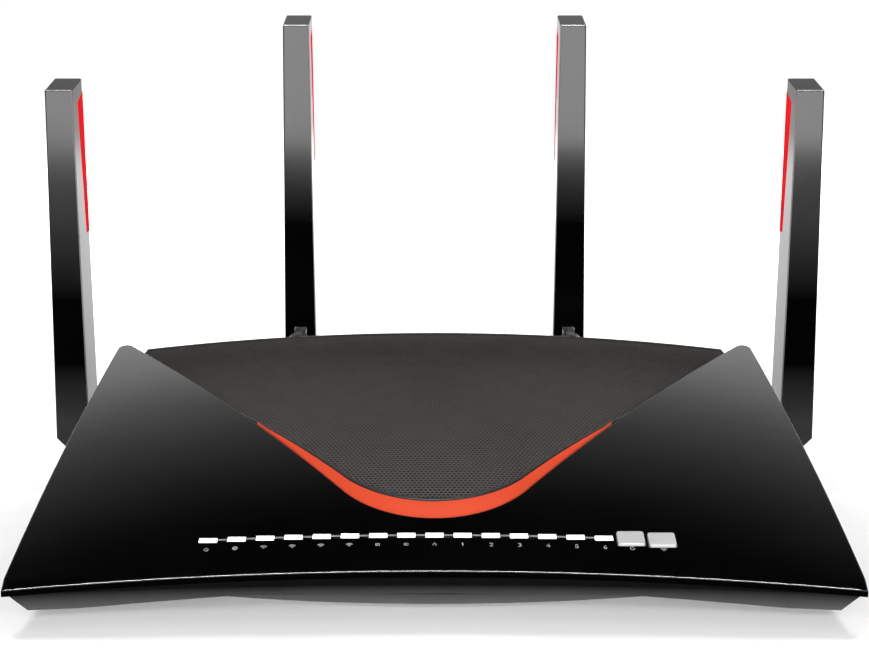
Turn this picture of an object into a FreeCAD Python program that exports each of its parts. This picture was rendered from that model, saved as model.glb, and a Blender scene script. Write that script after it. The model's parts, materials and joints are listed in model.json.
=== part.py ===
import FreeCAD, Part
import math
import operator
import os
import Sketcher

# A desktop wireless router: a low wedge-shaped housing under a sloping gloss cover with two wings,
# a domed grille between the wings, and four hinged antennas on swivelling connectors.
# Millimetres. X points to the right seen from the front, Y to the back, Z up; Z = 0 is the table.
# Distances named *_back are measured backwards from the front corners of the cover.

SIZES = {
    # Cover plate
    "cover_half_width": 161,
    "cover_front_height": 11.5,
    "cover_slope": 18.7,
    "cover_thickness": 2.6,
    "front_radius": 1194,
    "corner_out": 0.7,
    "corner_back": 6.9,
    "side_radius": 1930,
    "wing_half_width": 150.3,
    "wing_back": 171,
    "tip_radius": 4,
    "vee_tip_x": 144.3,
    "vee_tip_back": 172.6,
    "vee_bend_x": 38,
    "vee_bend_back": 61.5,
    "vee_bend_radius": 48,
    "vee_side_radius": 880,
    # Accent lip and grille
    "lip_bend_x": 36,
    "lip_bend_back": 65,
    "lip_bend_radius": 50,
    "lip_end_x": 77.5,
    "lip_end_back": 109.2,
    "grille_thickness": 1.5,
    "grille_crest_height": 65.9,
    "grille_crest_back": 245,
    "grille_length_radius": 580,
    "grille_width_radius": 1700,
    # Housing
    "foot_height": 3,
    "foot_radius": 7,
    "foot_x": 100,
    "foot_front_back": 60,
    "foot_rear_back": 190,
    "belly_depth": 1.8,
    "floor_thickness": 2,
    "wall": 2.2,
    "parting_height": 34,
    "chin_inset": 1.2,
    "side_inset": 1.6,
    "side_lift": 7.3,
    "side_cut": 12,
    "rear_half_width": 145.5,
    "rear_corner_back": 218,
    "rear_radius": 1107,
    "panel_thickness": 2,
    "panel_half_width": 130,
    "cavity_half_width": 142.5,
    "cavity_front_back": 6,
    "top_room": 75,
    "belly_front_x": 79.5,
    "belly_front_back": 19.8,
    "belly_front_radius": 404,
    "belly_half_width": 125,
    "belly_shoulder_back": 60,
    "gap": 0.3,
    "fit": 0.05,
    # Status lights and front buttons
    "light_pitch": 11,
    "light_width": 7,
    "light_depth": 2.8,
    "light_centre_back": 32,
    "light_bar_depth": 8.5,
    "light_bar_thickness": 2,
    "light_chip_width": 3,
    "light_chip_height": 1,
    "light_board_thickness": 1.2,
    "light_board_depth": 12,
    "button_width": 10.6,
    "button_depth": 8.2,
    "button_rise": 0.8,
    "button_flange": 1,
    "button_spacing": 1.4,
    "button_margin": 1.6,
    "button_skirt": 0.55,
    "button_travel": 0.4,
    # Main board and cooling
    "board_width": 252,
    "board_front_back": 82,
    "board_setback": 6,
    "board_height": 10,
    "board_thickness": 1.6,
    "boss_radius": 3.5,
    "hole_x": 115,
    "hole_front_back": 92,
    "hole_middle_back": 146,
    "hole_rear_back": 196,
    "shield_width": 30,
    "shield_depth": 34,
    "shield_height": 3,
    "shield_pitch": 38,
    "pad_height": 1,
    "pad_share": 0.8,
    "sink_width": 112,
    "sink_depth": 70,
    "sink_centre_back": 140,
    "sink_base": 3,
    "fin_height": 9,
    "fin_thickness": 1.4,
    "fan_size": 60,
    "fan_height": 14,
    "fan_bore": 56,
    "hub_radius": 12,
    "blade_tip_gap": 0.8,
    "blade_chord": 10.8,
    "blade_pitch": 35,
    "shaft_radius": 1.5,
    # Rear connectors
    "jack_width": 16,
    "jack_height": 13.5,
    "jack_depth": 21,
    "jack_pitch": 16.4,
    "socket_width": 11.9,
    "socket_height": 8.2,
    "socket_depth": 13,
    "socket_lift": 1.75,
    "first_jack_x": -58,
    "wan_jack_x": 44.8,
    "cage_x": 64.4,
    "cage_width": 14.6,
    "cage_height": 10.4,
    "cage_depth": 48,
    "cage_wall": 0.5,
    "usb_first_x": -79,
    "usb_pitch": 16,
    "usb_width": 13.4,
    "usb_height": 6,
    "usb_depth": 17,
    "usb_wall": 0.5,
    "usb_tongue": 1.9,
    "usb_tongue_width": 10.7,
    "dc_x": 114,
    "dc_width": 11,
    "dc_bore": 6.4,
    "dc_pin": 2,
    "power_x": 94,
    "power_radius": 4.5,
    "reset_x": -123,
    "reset_radius": 1.3,
    "light_switch_x": -111,
    "light_switch_travel": 3,
    "rear_button_height": 18.5,
    "power_rise": 1.5,
    "power_travel": 1,
    "lever_width": 2.4,
    "lever_height": 3,
    "switch_depth": 8,
    # Screws
    "screw_radius": 1.5,
    "screw_head_radius": 2.8,
    "screw_head_height": 1.6,
    "post_radius": 4,
    "post_x": 138,
    "post_front_back": 100,
    "post_rear_setback": 15,
    "upper_post_height": 6,
    # Antennas
    "side_hinge_x": 181,
    "side_hinge_setback": 7,
    "side_hinge_height": 25,
    "rear_hinge_x": 71,
    "rear_hinge_reach": 45.5,
    "rear_hinge_height": 56.6,
    "antenna_foot": 14,
    "antenna_front_top": 164.5,
    "antenna_crown": 5.3,
    "antenna_base_width": 16.8,
    "antenna_top_width": 13.3,
    "antenna_base_depth": 23,
    "antenna_top_depth": 21,
    "antenna_foot_cut": 6,
    "accent_length": 70,
    "accent_top_depth": 11,
    "accent_foot_depth": 6,
    "accent_thickness": 0.8,
    "fork_reach": 6.9,
    "fork_top": 7.5,
    "tongue_radius": 6,
    "side_tongue": 8,
    "rear_tongue": 6,
    "side_barrel_start": 17,
    "rear_barrel_start": 19.6,
    "barrel_radius": 6.4,
    "barrel_end": 30.4,
    "hinge_pin_radius": 2,
    "side_pin_length": 18,
    "rear_pin_length": 13,
    "stub_radius": 3.2,
    "stub_depth": 10,
    "flange_radius": 5.2,
    "flange_thickness": 2,
    "nut_radius": 4.6,
    "socket_boss_radius": 5.2,
    "socket_boss_depth": 8.6,
}

LIGHTS_LEFT = 8
LIGHTS_RIGHT = 6
LAN_JACKS = 6
FINS = 15
FAN_BLADES = 7
SHIELDS = 3

doc = FreeCAD.newDocument("router")
sheet = doc.addObject("Spreadsheet::Sheet", "Sizes")
for row, (alias, number) in enumerate(SIZES.items(), start=1):
    sheet.set(f"A{row}", alias.replace("_", " "))
    sheet.set(f"B{row}", str(number))
    sheet.setAlias(f"B{row}", alias)
doc.recompute()


class Amount:
    """A number together with the sheet formula that gives it."""

    def __init__(self, value, formula):
        self.value = value
        self.formula = formula

    def __add__(self, other):
        return combine(operator.add, self, "+", other)

    def __radd__(self, other):
        return combine(operator.add, other, "+", self)

    def __sub__(self, other):
        return combine(operator.sub, self, "-", other)

    def __rsub__(self, other):
        return combine(operator.sub, other, "-", self)

    def __mul__(self, other):
        return combine(operator.mul, self, "*", other)

    def __rmul__(self, other):
        return combine(operator.mul, other, "*", self)

    def __truediv__(self, other):
        return combine(operator.truediv, self, "/", other)

    def __neg__(self):
        return combine(operator.sub, 0, "-", self)


def amount(number):
    """Wrap a plain number so that it can stand in a formula."""
    if isinstance(number, Amount):
        return number
    return Amount(float(number), f"{number}")


def combine(action, left, sign, right):
    left = amount(left)
    right = amount(right)
    return Amount(action(left.value, right.value), f"({left.formula} {sign} {right.formula})")


def cosine(degrees):
    return Amount(math.cos(math.radians(degrees.value)), f"cos({degrees.formula})")


def sine(degrees):
    return Amount(math.sin(math.radians(degrees.value)), f"sin({degrees.formula})")


class Sheet:
    """Gives each driving size of the sheet by its alias."""

    def __getattr__(self, alias):
        return Amount(float(getattr(sheet, alias)), f"Sizes.{alias}")


s = Sheet()

# The origin stands under the middle of the whole router, antennas included.
rear_hinge_back = s.rear_corner_back + s.rear_hinge_reach
side_hinge_back = s.rear_corner_back - s.side_hinge_setback
overall_depth = rear_hinge_back + s.antenna_base_depth / 2
origin_back = overall_depth / 2


def back(distance):
    """Y of a point that lies this far behind the front corners of the cover."""
    return distance - origin_back


def bind(item, name, length):
    item.setExpression(name, amount(length).formula)


def place(item, x=0, y=0, z=0, axis=None, angle=0):
    """Move an object, and turn it about an axis by an angle in degrees."""
    x, y, z, angle = amount(x), amount(y), amount(z), amount(angle)
    turn = FreeCAD.Rotation(FreeCAD.Vector(*(axis or (0, 0, 1))), angle.value)
    item.Placement = FreeCAD.Placement(FreeCAD.Vector(x.value, y.value, z.value), turn)
    bind(item, "Placement.Base.x", x)
    bind(item, "Placement.Base.y", y)
    bind(item, "Placement.Base.z", z)
    if axis:
        bind(item, "Placement.Rotation.Angle", angle)
    return item


def in_cover_frame(item):
    """Lay an object on the top surface of the cover: X across, Y up the slope, Z out of it."""
    return place(item, 0, back(0), s.cover_front_height, (1, 0, 0), s.cover_slope)


def box(name, x, y, z, dx, dy, dz):
    item = doc.addObject("Part::Box", name)
    bind(item, "Length", dx)
    bind(item, "Width", dy)
    bind(item, "Height", dz)
    return place(item, x, y, z)


def centred_box(name, x, y, z, dx, dy, dz):
    """A box centred on x and y that stands on z."""
    return box(name, x - amount(dx) / 2, y - amount(dy) / 2, z, dx, dy, dz)


TURNS = {"X": ((0, 1, 0), 90), "Y": ((1, 0, 0), -90), "Z": (None, 0)}


def cylinder(name, along, x, y, z, radius, length):
    """A cylinder that starts at a point and runs towards +X, +Y or +Z."""
    item = doc.addObject("Part::Cylinder", name)
    bind(item, "Radius", radius)
    bind(item, "Height", length)
    axis, angle = TURNS[along]
    return place(item, x, y, z, axis, angle)


def fuse(name, items):
    item = doc.addObject("Part::MultiFuse", name)
    item.Shapes = items
    return item


def common(name, first, second):
    item = doc.addObject("Part::Common", name)
    item.Base = first
    item.Tool = second
    return item


def group(name, items):
    """Several solids that stay separate in one object."""
    item = doc.addObject("Part::Compound", name)
    item.Links = items
    return item


def cut(name, base, tools):
    item = doc.addObject("Part::Cut", name)
    item.Base = base
    item.Tool = tools[0] if len(tools) == 1 else group(name + "Tools", tools)
    return item


def mirror(name, source):
    """The left-hand copy of a right-hand piece."""
    item = doc.addObject("Part::Mirroring", name)
    item.Source = source
    item.Base = FreeCAD.Vector(0, 0, 0)
    item.Normal = FreeCAD.Vector(1, 0, 0)
    return item


def arc_middle(start, end, radius, side):
    """The middle of an arc between two points; side +1 bulges to the left of the way, -1 to the right."""
    chord = end - start
    half = chord.Length / 2
    sagitta = radius - math.sqrt(radius * radius - half * half)
    left = FreeCAD.Vector(-chord.y, chord.x, 0) / chord.Length
    return (start + end) / 2 + left * sagitta * side


def outline(body, name, points):
    """A closed sketch; each point is (x, y) or (x, y, radius, side) where an arc leads to the next one."""
    sketch = body.newObject("Sketcher::SketchObject", name)
    origin_plane = [part for part in body.Origin.OriginFeatures if part.Role == "XY_Plane"][0]
    sketch.AttachmentSupport = [(origin_plane, "")]
    sketch.MapMode = "FlatFace"
    places = [FreeCAD.Vector(amount(p[0]).value, amount(p[1]).value, 0) for p in points]
    for index, point in enumerate(points):
        start = places[index]
        end = places[(index + 1) % len(points)]
        if len(point) == 2:
            sketch.addGeometry(Part.LineSegment(start, end))
        else:
            sketch.addGeometry(Part.Arc(start, arc_middle(start, end, point[2].value, point[3]), end))
    for index, point in enumerate(points):
        link_to_next(sketch, index, (index + 1) % len(points))
        pin_point(sketch, index, point)
    return sketch


def nearest_end(sketch, index, target):
    """The number of the end of an edge that lies at a target point."""
    first = sketch.getPoint(index, 1)
    second = sketch.getPoint(index, 2)
    return 1 if first.distanceToPoint(target) <= second.distanceToPoint(target) else 2


def link_to_next(sketch, index, following):
    """Join the end of an edge to the start of the following one."""
    options = [(i, j) for i in (1, 2) for j in (1, 2)]
    gaps = {pair: sketch.getPoint(index, pair[0]).distanceToPoint(sketch.getPoint(following, pair[1]))
            for pair in options}
    mine, theirs = min(gaps, key=gaps.get)
    sketch.addConstraint(Sketcher.Constraint("Coincident", index, mine, following, theirs))


def pin_point(sketch, index, point):
    """Tie one corner of a sketch, and the radius of the arc that leaves it, to the sheet."""
    x, y = amount(point[0]), amount(point[1])
    corner = nearest_end(sketch, index, FreeCAD.Vector(x.value, y.value, 0))
    for kind, length in (("DistanceX", x), ("DistanceY", y)):
        if length.value >= 0:
            number = sketch.addConstraint(Sketcher.Constraint(kind, -1, 1, index, corner, length.value))
            sketch.setExpression(f"Constraints[{number}]", length.formula)
        else:
            number = sketch.addConstraint(Sketcher.Constraint(kind, index, corner, -1, 1, -length.value))
            sketch.setExpression(f"Constraints[{number}]", (-length).formula)
    if len(point) > 2:
        number = sketch.addConstraint(Sketcher.Constraint("Radius", index, point[2].value))
        sketch.setExpression(f"Constraints[{number}]", point[2].formula)


def symmetric(front, right, rear=None):
    """Close a right-hand list of points with its mirror image.

    front is the (radius, side) of the arc from the left front point to the right front point, or None;
    rear is the same from the right rear point to the left rear point.
    """
    left = []
    for index in range(len(right) - 1, -1, -1):
        x, y = right[index][:2]
        arc = right[index - 1][2:] if index else (front or ())
        left.append((-x, y) + tuple(arc))
    last = right[-1][:2] + tuple(rear or ())
    return list(right[:-1]) + [last] + left


FACINGS = {"Z": (None, 0), "X": ((1, 1, 1), 120), "Y": ((1, 0, 0), 90)}


def extrusion(name, points, height, facing="Z", x=0, y=0, z=0):
    """A closed outline raised along its normal: in plan (Z), from the side (X) or from the front (Y)."""
    body = doc.addObject("PartDesign::Body", name)
    sketch = outline(body, name + "Outline", points)
    doc.recompute()
    pad = body.newObject("PartDesign::Pad", name + "Pad")
    pad.Profile = sketch
    bind(pad, "Length", height)
    body.Tip = pad
    axis, angle = FACINGS[facing]
    return place(body, x, y, z, axis, angle)


def prism(name, points, bottom, top):
    """A plan outline, measured back from the front corners, raised from one level to another."""
    return extrusion(name, points, top - amount(bottom), y=back(0), z=bottom)


parts = {}


def keep(node, item):
    """Record a finished piece under the name of its node."""
    item.Label = node
    parts[node] = item


# ---------------------------------------------------------------- plan outlines

# Shares of a clearance that move a point of the notch square to its edge, at the bend and at the tip.
BEND_SHARE = (0.77, 0.64)
TIP_SHARE = (0.66, 0.75)


def cover_points():
    return symmetric(
        (s.front_radius, 1),
        [
            (s.cover_half_width, amount(0)),
            (s.cover_half_width + s.corner_out, s.corner_back, s.side_radius, -1),
            (s.wing_half_width, s.wing_back, s.tip_radius, -1),
            (s.vee_tip_x, s.vee_tip_back, s.vee_side_radius, -1),
            (s.vee_bend_x, s.vee_bend_back),
        ],
        (s.vee_bend_radius, 1),
    )


def vee_bend(clear):
    return s.vee_bend_x - clear * BEND_SHARE[0], s.vee_bend_back + clear * BEND_SHARE[1]


def vee_tip(clear):
    return s.vee_tip_x - clear * TIP_SHARE[0], s.vee_tip_back + clear * TIP_SHARE[1]


def behind_wings(clear, reach):
    """Everything between the wings and behind them, out to a far rectangle."""
    shoulder = s.vee_tip_back + s.gap * 3 + clear
    return symmetric(
        (s.vee_bend_radius - clear, -1),
        [
            vee_bend(clear) + (s.vee_side_radius, 1),
            vee_tip(clear),
            (s.vee_tip_x, shoulder),
            (s.cover_half_width + reach, shoulder),
            (s.cover_half_width + reach, rear_hinge_back),
        ],
    )


def grille_points():
    shoulder = s.vee_tip_back + s.gap * 4
    return symmetric(
        (s.lip_bend_radius, -1),
        [
            (s.lip_bend_x, s.lip_bend_back, s.vee_side_radius, 1),
            (s.lip_end_x, s.lip_end_back, s.vee_side_radius, 1),
            vee_tip(s.gap),
            (s.vee_tip_x, shoulder),
            (s.wing_half_width - s.side_inset - s.gap, shoulder),
            (s.rear_half_width, s.rear_corner_back),
        ],
        (s.rear_radius, -1),
    )


def lip_back_points():
    """The ground that the grille takes up behind the accent lip."""
    return symmetric(
        (s.lip_bend_radius, -1),
        [
            (s.lip_bend_x, s.lip_bend_back, s.vee_side_radius, 1),
            (s.lip_end_x, s.lip_end_back),
            (s.lip_end_x, s.rear_corner_back),
        ],
    )


def housing_points(inset, rear_radius=None):
    """Plan of the housing; the rear edge is straight, or an arc where a radius is given."""
    rear_side = s.rear_corner_back - inset
    right = [
        (s.cover_half_width - s.side_inset - inset, s.chin_inset + inset, s.side_radius, -1),
        (s.wing_half_width - s.side_inset - inset, s.wing_back),
        (s.rear_half_width - inset, rear_side),
    ]
    return symmetric((s.front_radius, 1), right, (rear_radius, -1) if rear_radius else None)


def cavity_points():
    return symmetric(
        (s.front_radius, 1),
        [
            (s.cavity_half_width, s.cavity_front_back),
            (s.cavity_half_width, s.rear_corner_back - s.wall),
        ],
    )


def belly_points():
    return symmetric(
        (s.belly_front_radius, -1),
        [
            (s.belly_front_x, s.belly_front_back),
            (s.belly_half_width, s.belly_shoulder_back),
            (s.belly_half_width, s.rear_corner_back - s.panel_thickness * 4),
        ],
    )


# ---------------------------------------------------------------- shared levels and places

underside = s.foot_height + s.belly_depth
floor_top = underside + s.floor_thickness
board_top = s.board_height + s.board_thickness
sink_bottom = board_top + s.shield_height + s.pad_height
fan_bottom = sink_bottom + s.sink_base + s.fin_height
side_boss_face = s.side_hinge_x - s.barrel_end - s.gap - s.flange_thickness
rear_boss_face = rear_hinge_back - s.barrel_end - s.gap - s.flange_thickness
light_bar_bottom = -s.cover_thickness - s.light_bar_thickness
light_board_top = light_bar_bottom - s.light_chip_height
button_bottom = -s.cover_thickness - s.gap - s.button_flange
first_button_x = s.light_pitch * LIGHTS_RIGHT + (s.light_width + s.button_width) / 2 + s.button_margin


def along_slope(distance):
    """Distance up the cover's slope of a point that lies this far behind its front corners."""
    return distance / cosine(s.cover_slope)


def light_places():
    """Across and up-slope middle of each status light; the row runs parallel to the front edge."""
    for index in range(-LIGHTS_LEFT, LIGHTS_RIGHT + 1):
        x = s.light_pitch * index
        yield index, x, along_slope(s.light_centre_back - x * x / (s.front_radius * 2))


def button_places():
    for index, node in enumerate(("wps_button", "wifi_button")):
        x = first_button_x + (s.button_width + s.button_spacing) * index
        yield node, x, along_slope(s.light_centre_back - x * x / (s.front_radius * 2))


def post_places():
    for side in (-1, 1):
        rear = s.rear_corner_back - s.post_rear_setback
        for label, distance in (("Front", s.post_front_back), ("Rear", rear)):
            yield f"{label}{'Left' if side < 0 else 'Right'}", s.post_x * side, back(distance)


def board_hole_places():
    for side in (-1, 1):
        for row, distance in enumerate((s.hole_front_back, s.hole_middle_back, s.hole_rear_back)):
            yield f"{row}{'Left' if side < 0 else 'Right'}", s.hole_x * side, back(distance)


def above_cover(name, depth):
    """The space above a plane that lies below the cover's top surface by a depth."""
    reach = s.cover_half_width * 2
    slab = box(name + "Slab", -reach, -reach, -depth, reach * 2, reach * 3, s.top_room * 2)
    return in_cover_frame(group(name, [slab]))


def dome(name, drop):
    """The solid under the domed surface of the grille, lowered by a drop."""
    ring = doc.addObject("Part::Torus", name)
    bind(ring, "Radius1", s.grille_width_radius - s.grille_length_radius)
    bind(ring, "Radius2", s.grille_length_radius - drop)
    y = back(s.grille_crest_back)
    return place(ring, 0, y, s.grille_crest_height - s.grille_width_radius, (1, 0, 0), 90)


# ---------------------------------------------------------------- housing and covers

def lower_housing():
    shell = prism("LowerShell", housing_points(amount(0)), underside, s.parting_height)
    belly = prism("LowerBelly", belly_points(), s.foot_height, underside)
    cavity = prism("LowerCavity", cavity_points(), floor_top, s.parting_height + s.wall)
    hollow = cut("LowerHollow", shell, [cavity, above_cover("LowerLid", s.cover_thickness)])
    posts = [
        cylinder(f"LowerPost{label}", "Z", x, y, floor_top, s.post_radius, s.parting_height - floor_top)
        for label, x, y in post_places()
    ]
    bosses = [
        cylinder(f"BoardBoss{label}", "Z", x, y, floor_top, s.boss_radius, s.board_height - floor_top)
        for label, x, y in board_hole_places()
    ]
    y = back(side_hinge_back)
    length = side_boss_face - s.cavity_half_width
    noses = [
        cylinder("SideBossRight", "X", s.cavity_half_width, y, s.side_hinge_height,
                 s.socket_boss_radius, length),
        cylinder("SideBossLeft", "X", -side_boss_face, y, s.side_hinge_height,
                 s.socket_boss_radius, length),
    ]
    solid = fuse("LowerSolid", [hollow, belly] + posts + bosses + noses + light_board_posts())
    tools = [
        box("PanelBay", -s.panel_half_width, back(s.rear_corner_back - s.panel_thickness - s.wall), floor_top,
            s.panel_half_width * 2, s.wall * 4, s.parting_height),
        cylinder("SideHoles", "X", -s.cover_half_width, y, s.side_hinge_height,
                 s.stub_radius + s.fit, s.cover_half_width * 2),
    ]
    tools += [side_bevel(side) for side in (-1, 1)]
    for label, x, place_y in post_places():
        tools.append(cylinder(f"PostHole{label}", "Z", x, place_y, 0, s.screw_radius + s.fit,
                              s.parting_height * 2))
        tools.append(cylinder(f"HeadRecess{label}", "Z", x, place_y, 0, s.screw_head_radius + s.gap,
                              underside + s.screw_head_height))
    for label, x, place_y in board_hole_places():
        tools.append(cylinder(f"BossHole{label}", "Z", x, place_y, floor_top, s.screw_radius,
                              s.parting_height))
    keep("lower_housing", cut("LowerHousing", solid, tools))


def side_bevel(side):
    """Wedge that cuts the lower side edge of the housing back underneath."""
    out = s.cover_half_width + s.side_cut
    corner = s.cover_half_width - s.side_cut
    points = [
        (corner * side, s.foot_height),
        (out * side, s.foot_height),
        (out * side, s.foot_height + s.side_lift * 2),
    ]
    if side < 0:
        points.reverse()
    return extrusion(f"SideBevel{'Left' if side < 0 else 'Right'}", points, overall_depth, "Y",
                     y=back(overall_depth))


def light_board_posts():
    """Pillars that carry the light board, cut off under it."""
    lid = above_cover("LightBoardLid", s.light_board_thickness - light_board_top)
    y = back(s.light_centre_back)
    pillars = [
        cylinder(f"LightPillar{index}", "Z", s.light_pitch * place_index, y, floor_top,
                 s.boss_radius, s.parting_height - floor_top)
        for index, place_index in enumerate((-LIGHTS_LEFT, 0, LIGHTS_RIGHT + 1))
    ]
    return [cut("LightPillars", group("LightPillarGroup", pillars), [lid])]


def upper_housing():
    top = s.top_room
    low = s.parting_height
    outer = prism("UpperOuter", housing_points(amount(0), s.rear_radius), low, top)
    inner = prism("UpperInner", housing_points(s.wall, s.rear_radius), low - s.wall, top + s.wall)
    ring = cut("UpperRing", outer, [inner])
    wing_wall = cut("WingWallBand", prism("WingWallOuter", behind_wings(-s.wall, 0), low, top),
                    [prism("WingWallInner", behind_wings(amount(0), s.wall), low - s.wall, top + s.wall)])
    ledge = box("RearLedge", -s.cover_half_width, back(s.rear_corner_back - s.wall * 2), low,
                s.cover_half_width * 2, s.wall * 8, s.wall)
    posts = []
    for label, x, y in post_places():
        posts.append(cylinder(f"UpperPost{label}", "Z", x, y, low, s.post_radius, s.upper_post_height))
        start = x if x.value > 0 else x - s.post_x
        posts.append(box(f"UpperRib{label}", start, y - s.wall / 2, low,
                         s.post_x, s.wall, s.upper_post_height))
    inside = common("UpperInside", fuse("UpperExtras", [wing_wall, ledge] + posts),
                    prism("UpperBound", housing_points(amount(0), s.rear_radius), low, top))
    bosses = [
        cylinder(f"RearBoss{side}", "Y", s.rear_hinge_x * side, back(rear_boss_face - s.socket_boss_depth),
                 s.rear_hinge_height, s.socket_boss_radius, s.socket_boss_depth)
        for side in (-1, 1)
    ]
    room_plan = prism("GrilleRoomPlan", behind_wings(amount(0), s.wall * 4), low, top * 2)
    grille_room = cut("GrilleRoom", room_plan, [dome("GrilleSeat", s.grille_thickness)])
    tools = [above_cover("UpperLid", s.cover_thickness), grille_room]
    for side in (-1, 1):
        tools.append(cylinder(f"RearHole{side}", "Y", s.rear_hinge_x * side, back(s.sink_centre_back),
                              s.rear_hinge_height, s.stub_radius + s.fit, s.sink_centre_back))
    for label, x, y in post_places():
        tools.append(cylinder(f"UpperHole{label}", "Z", x, y, 0, s.screw_radius, low + s.upper_post_height))
    shell = cut("UpperShell", fuse("UpperSolid", [ring, inside]), tools)
    bores = [
        cylinder(f"RearBossHole{side}", "Y", s.rear_hinge_x * side, back(s.sink_centre_back),
                 s.rear_hinge_height, s.stub_radius + s.fit, s.sink_centre_back)
        for side in (-1, 1)
    ]
    sockets = cut("RearBosses", group("RearBossGroup", bosses), bores)
    keep("upper_housing", fuse("UpperHousing", [shell, sockets]))


def top_cover():
    plate = common("CoverPlate", prism("CoverPlan", cover_points(), 0, s.top_room * 2), cover_slab())
    tools = []
    for index, x, y in light_places():
        tools.append(centred_box(f"LightSlot{index + LIGHTS_LEFT}", x, y, -s.cover_thickness * 2,
                                 s.light_width + s.fit * 2, s.light_depth + s.fit * 2, s.cover_thickness * 4))
    for node, x, y in button_places():
        tools.append(centred_box(f"ButtonSlot_{node}", x, y, -s.cover_thickness * 2,
                                 s.button_width + s.gap * 2, s.button_depth + s.gap * 2,
                                 s.cover_thickness * 4))
    slots = in_cover_frame(group("CoverSlots", tools))
    keep("top_cover", cut("TopCover", plate, [slots]))


def cover_slab():
    reach = s.cover_half_width * 2
    slab = box("CoverSlabBox", -reach, -reach, -s.cover_thickness, reach * 2, reach * 3, s.cover_thickness)
    return in_cover_frame(group("CoverSlab", [slab]))


def accent_lip():
    notch = prism("LipNotch", behind_wings(s.gap, 0), 0, s.top_room)
    behind = prism("LipBehind", lip_back_points(), -s.wall, s.top_room * 2)
    front = box("LipReach", -s.lip_end_x, back(0), 0, s.lip_end_x * 2, s.lip_end_back, s.top_room)
    crescent = common("LipCrescent", cut("LipBand", notch, [behind]), front)
    lowered = common("LipTop", crescent, dome("LipDome", amount(0)))
    keep("accent_lip", common("AccentLip", lowered, above_cover("LipFoot", s.cover_thickness)))


def grille():
    outer = dome("GrilleOuterDome", amount(0))
    shell = cut("GrilleShell", outer, [dome("GrilleInnerDome", s.grille_thickness)])
    plan = prism("GrillePlan", grille_points(), s.foot_height, s.top_room * 2)
    keep("grille", common("Grille", plan, shell))


def rear_panel():
    front = back(s.rear_corner_back - s.panel_thickness)
    plate = box("PanelPlate", -s.panel_half_width, front, floor_top,
                s.panel_half_width * 2, s.panel_thickness, s.parting_height - floor_top)
    left_usb = s.usb_first_x - s.usb_pitch - s.usb_width / 2
    right_usb = s.usb_first_x + s.usb_width / 2
    windows = [
        panel_window("UsbWindow", left_usb, right_usb, s.usb_height),
        panel_window("JackWindow", s.first_jack_x - s.jack_width / 2, s.wan_jack_x + s.jack_width / 2,
                     s.jack_height),
        panel_window("CageWindow", s.cage_x - s.cage_width / 2, s.cage_x + s.cage_width / 2, s.cage_height),
        panel_window("PowerWindow", s.dc_x - s.dc_width / 2, s.dc_x + s.dc_width / 2, s.dc_width),
        panel_window("SlideWindow", s.light_switch_x - s.lever_width / 2,
                     s.light_switch_x + s.lever_width / 2 + s.light_switch_travel, s.lever_height,
                     s.rear_button_height - s.lever_height / 2),
        panel_hole("PowerHole", s.power_x, s.power_radius + s.gap),
        panel_hole("ResetHole", s.reset_x, s.reset_radius + s.gap),
    ]
    keep("rear_panel", cut("RearPanel", plate, windows))


def panel_window(name, left, right, height, bottom=None):
    """A rectangular hole in the rear panel with a clearance all round."""
    low = board_top if bottom is None else bottom
    return box(name, left - s.gap, back(s.rear_corner_back - s.panel_thickness * 2), low - s.gap,
               right - left + s.gap * 2, s.panel_thickness * 3, height + s.gap * 2)


def panel_hole(name, x, radius):
    return cylinder(name, "Y", x, back(s.rear_corner_back - s.panel_thickness * 2), s.rear_button_height,
                    radius, s.panel_thickness * 3)


# ---------------------------------------------------------------- lights and front buttons

def light_guide():
    prongs = [
        centred_box(f"LightProng{index + LIGHTS_LEFT}", x, y, light_bar_bottom,
                    s.light_width, s.light_depth, -light_bar_bottom)
        for index, x, y in light_places()
    ]
    left = -s.light_pitch * LIGHTS_LEFT - s.light_width / 2
    right = s.light_pitch * LIGHTS_RIGHT + s.light_width / 2
    middle = along_slope(s.light_centre_back) - s.light_bar_depth / 4
    bar = box("LightBar", left, middle - s.light_bar_depth / 2, light_bar_bottom,
              right - left, s.light_bar_depth, s.light_bar_thickness)
    keep("light_guide", in_cover_frame(fuse("LightGuide", [bar] + prongs)))


def status_lights():
    chips = [
        centred_box(f"LightChip{index + LIGHTS_LEFT}", x, y, light_board_top,
                    s.light_chip_width, s.light_depth, s.light_chip_height)
        for index, x, y in light_places()
    ]
    keep("status_lights", in_cover_frame(group("StatusLights", chips)))


def light_board():
    left = -s.light_pitch * LIGHTS_LEFT - s.light_width
    right = first_button_x + s.button_spacing + s.button_width * 1.5
    middle = along_slope(s.light_centre_back) - s.light_bar_depth / 4
    board = box("LightBoardPlate", left, middle - s.light_board_depth / 2,
                light_board_top - s.light_board_thickness, right - left, s.light_board_depth,
                s.light_board_thickness)
    keep("light_board", in_cover_frame(group("LightBoard", [board])))


def front_buttons():
    switches = []
    for node, x, y in button_places():
        cap = centred_box(node + "Cap", x, y, button_bottom, s.button_width, s.button_depth,
                          s.button_rise - button_bottom)
        skirt = centred_box(node + "Skirt", x, y, button_bottom, s.button_width + s.button_skirt * 2,
                            s.button_depth + s.button_skirt * 2, s.button_flange)
        keep(node, in_cover_frame(fuse(node + "Solid", [cap, skirt])))
        switches.append(centred_box(node + "Switch", x, y, light_board_top, s.button_depth / 2,
                                    s.button_depth / 2, button_bottom - s.button_travel - light_board_top))
    keep("front_switches", in_cover_frame(group("FrontSwitches", switches)))


# ---------------------------------------------------------------- board and cooling

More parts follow.
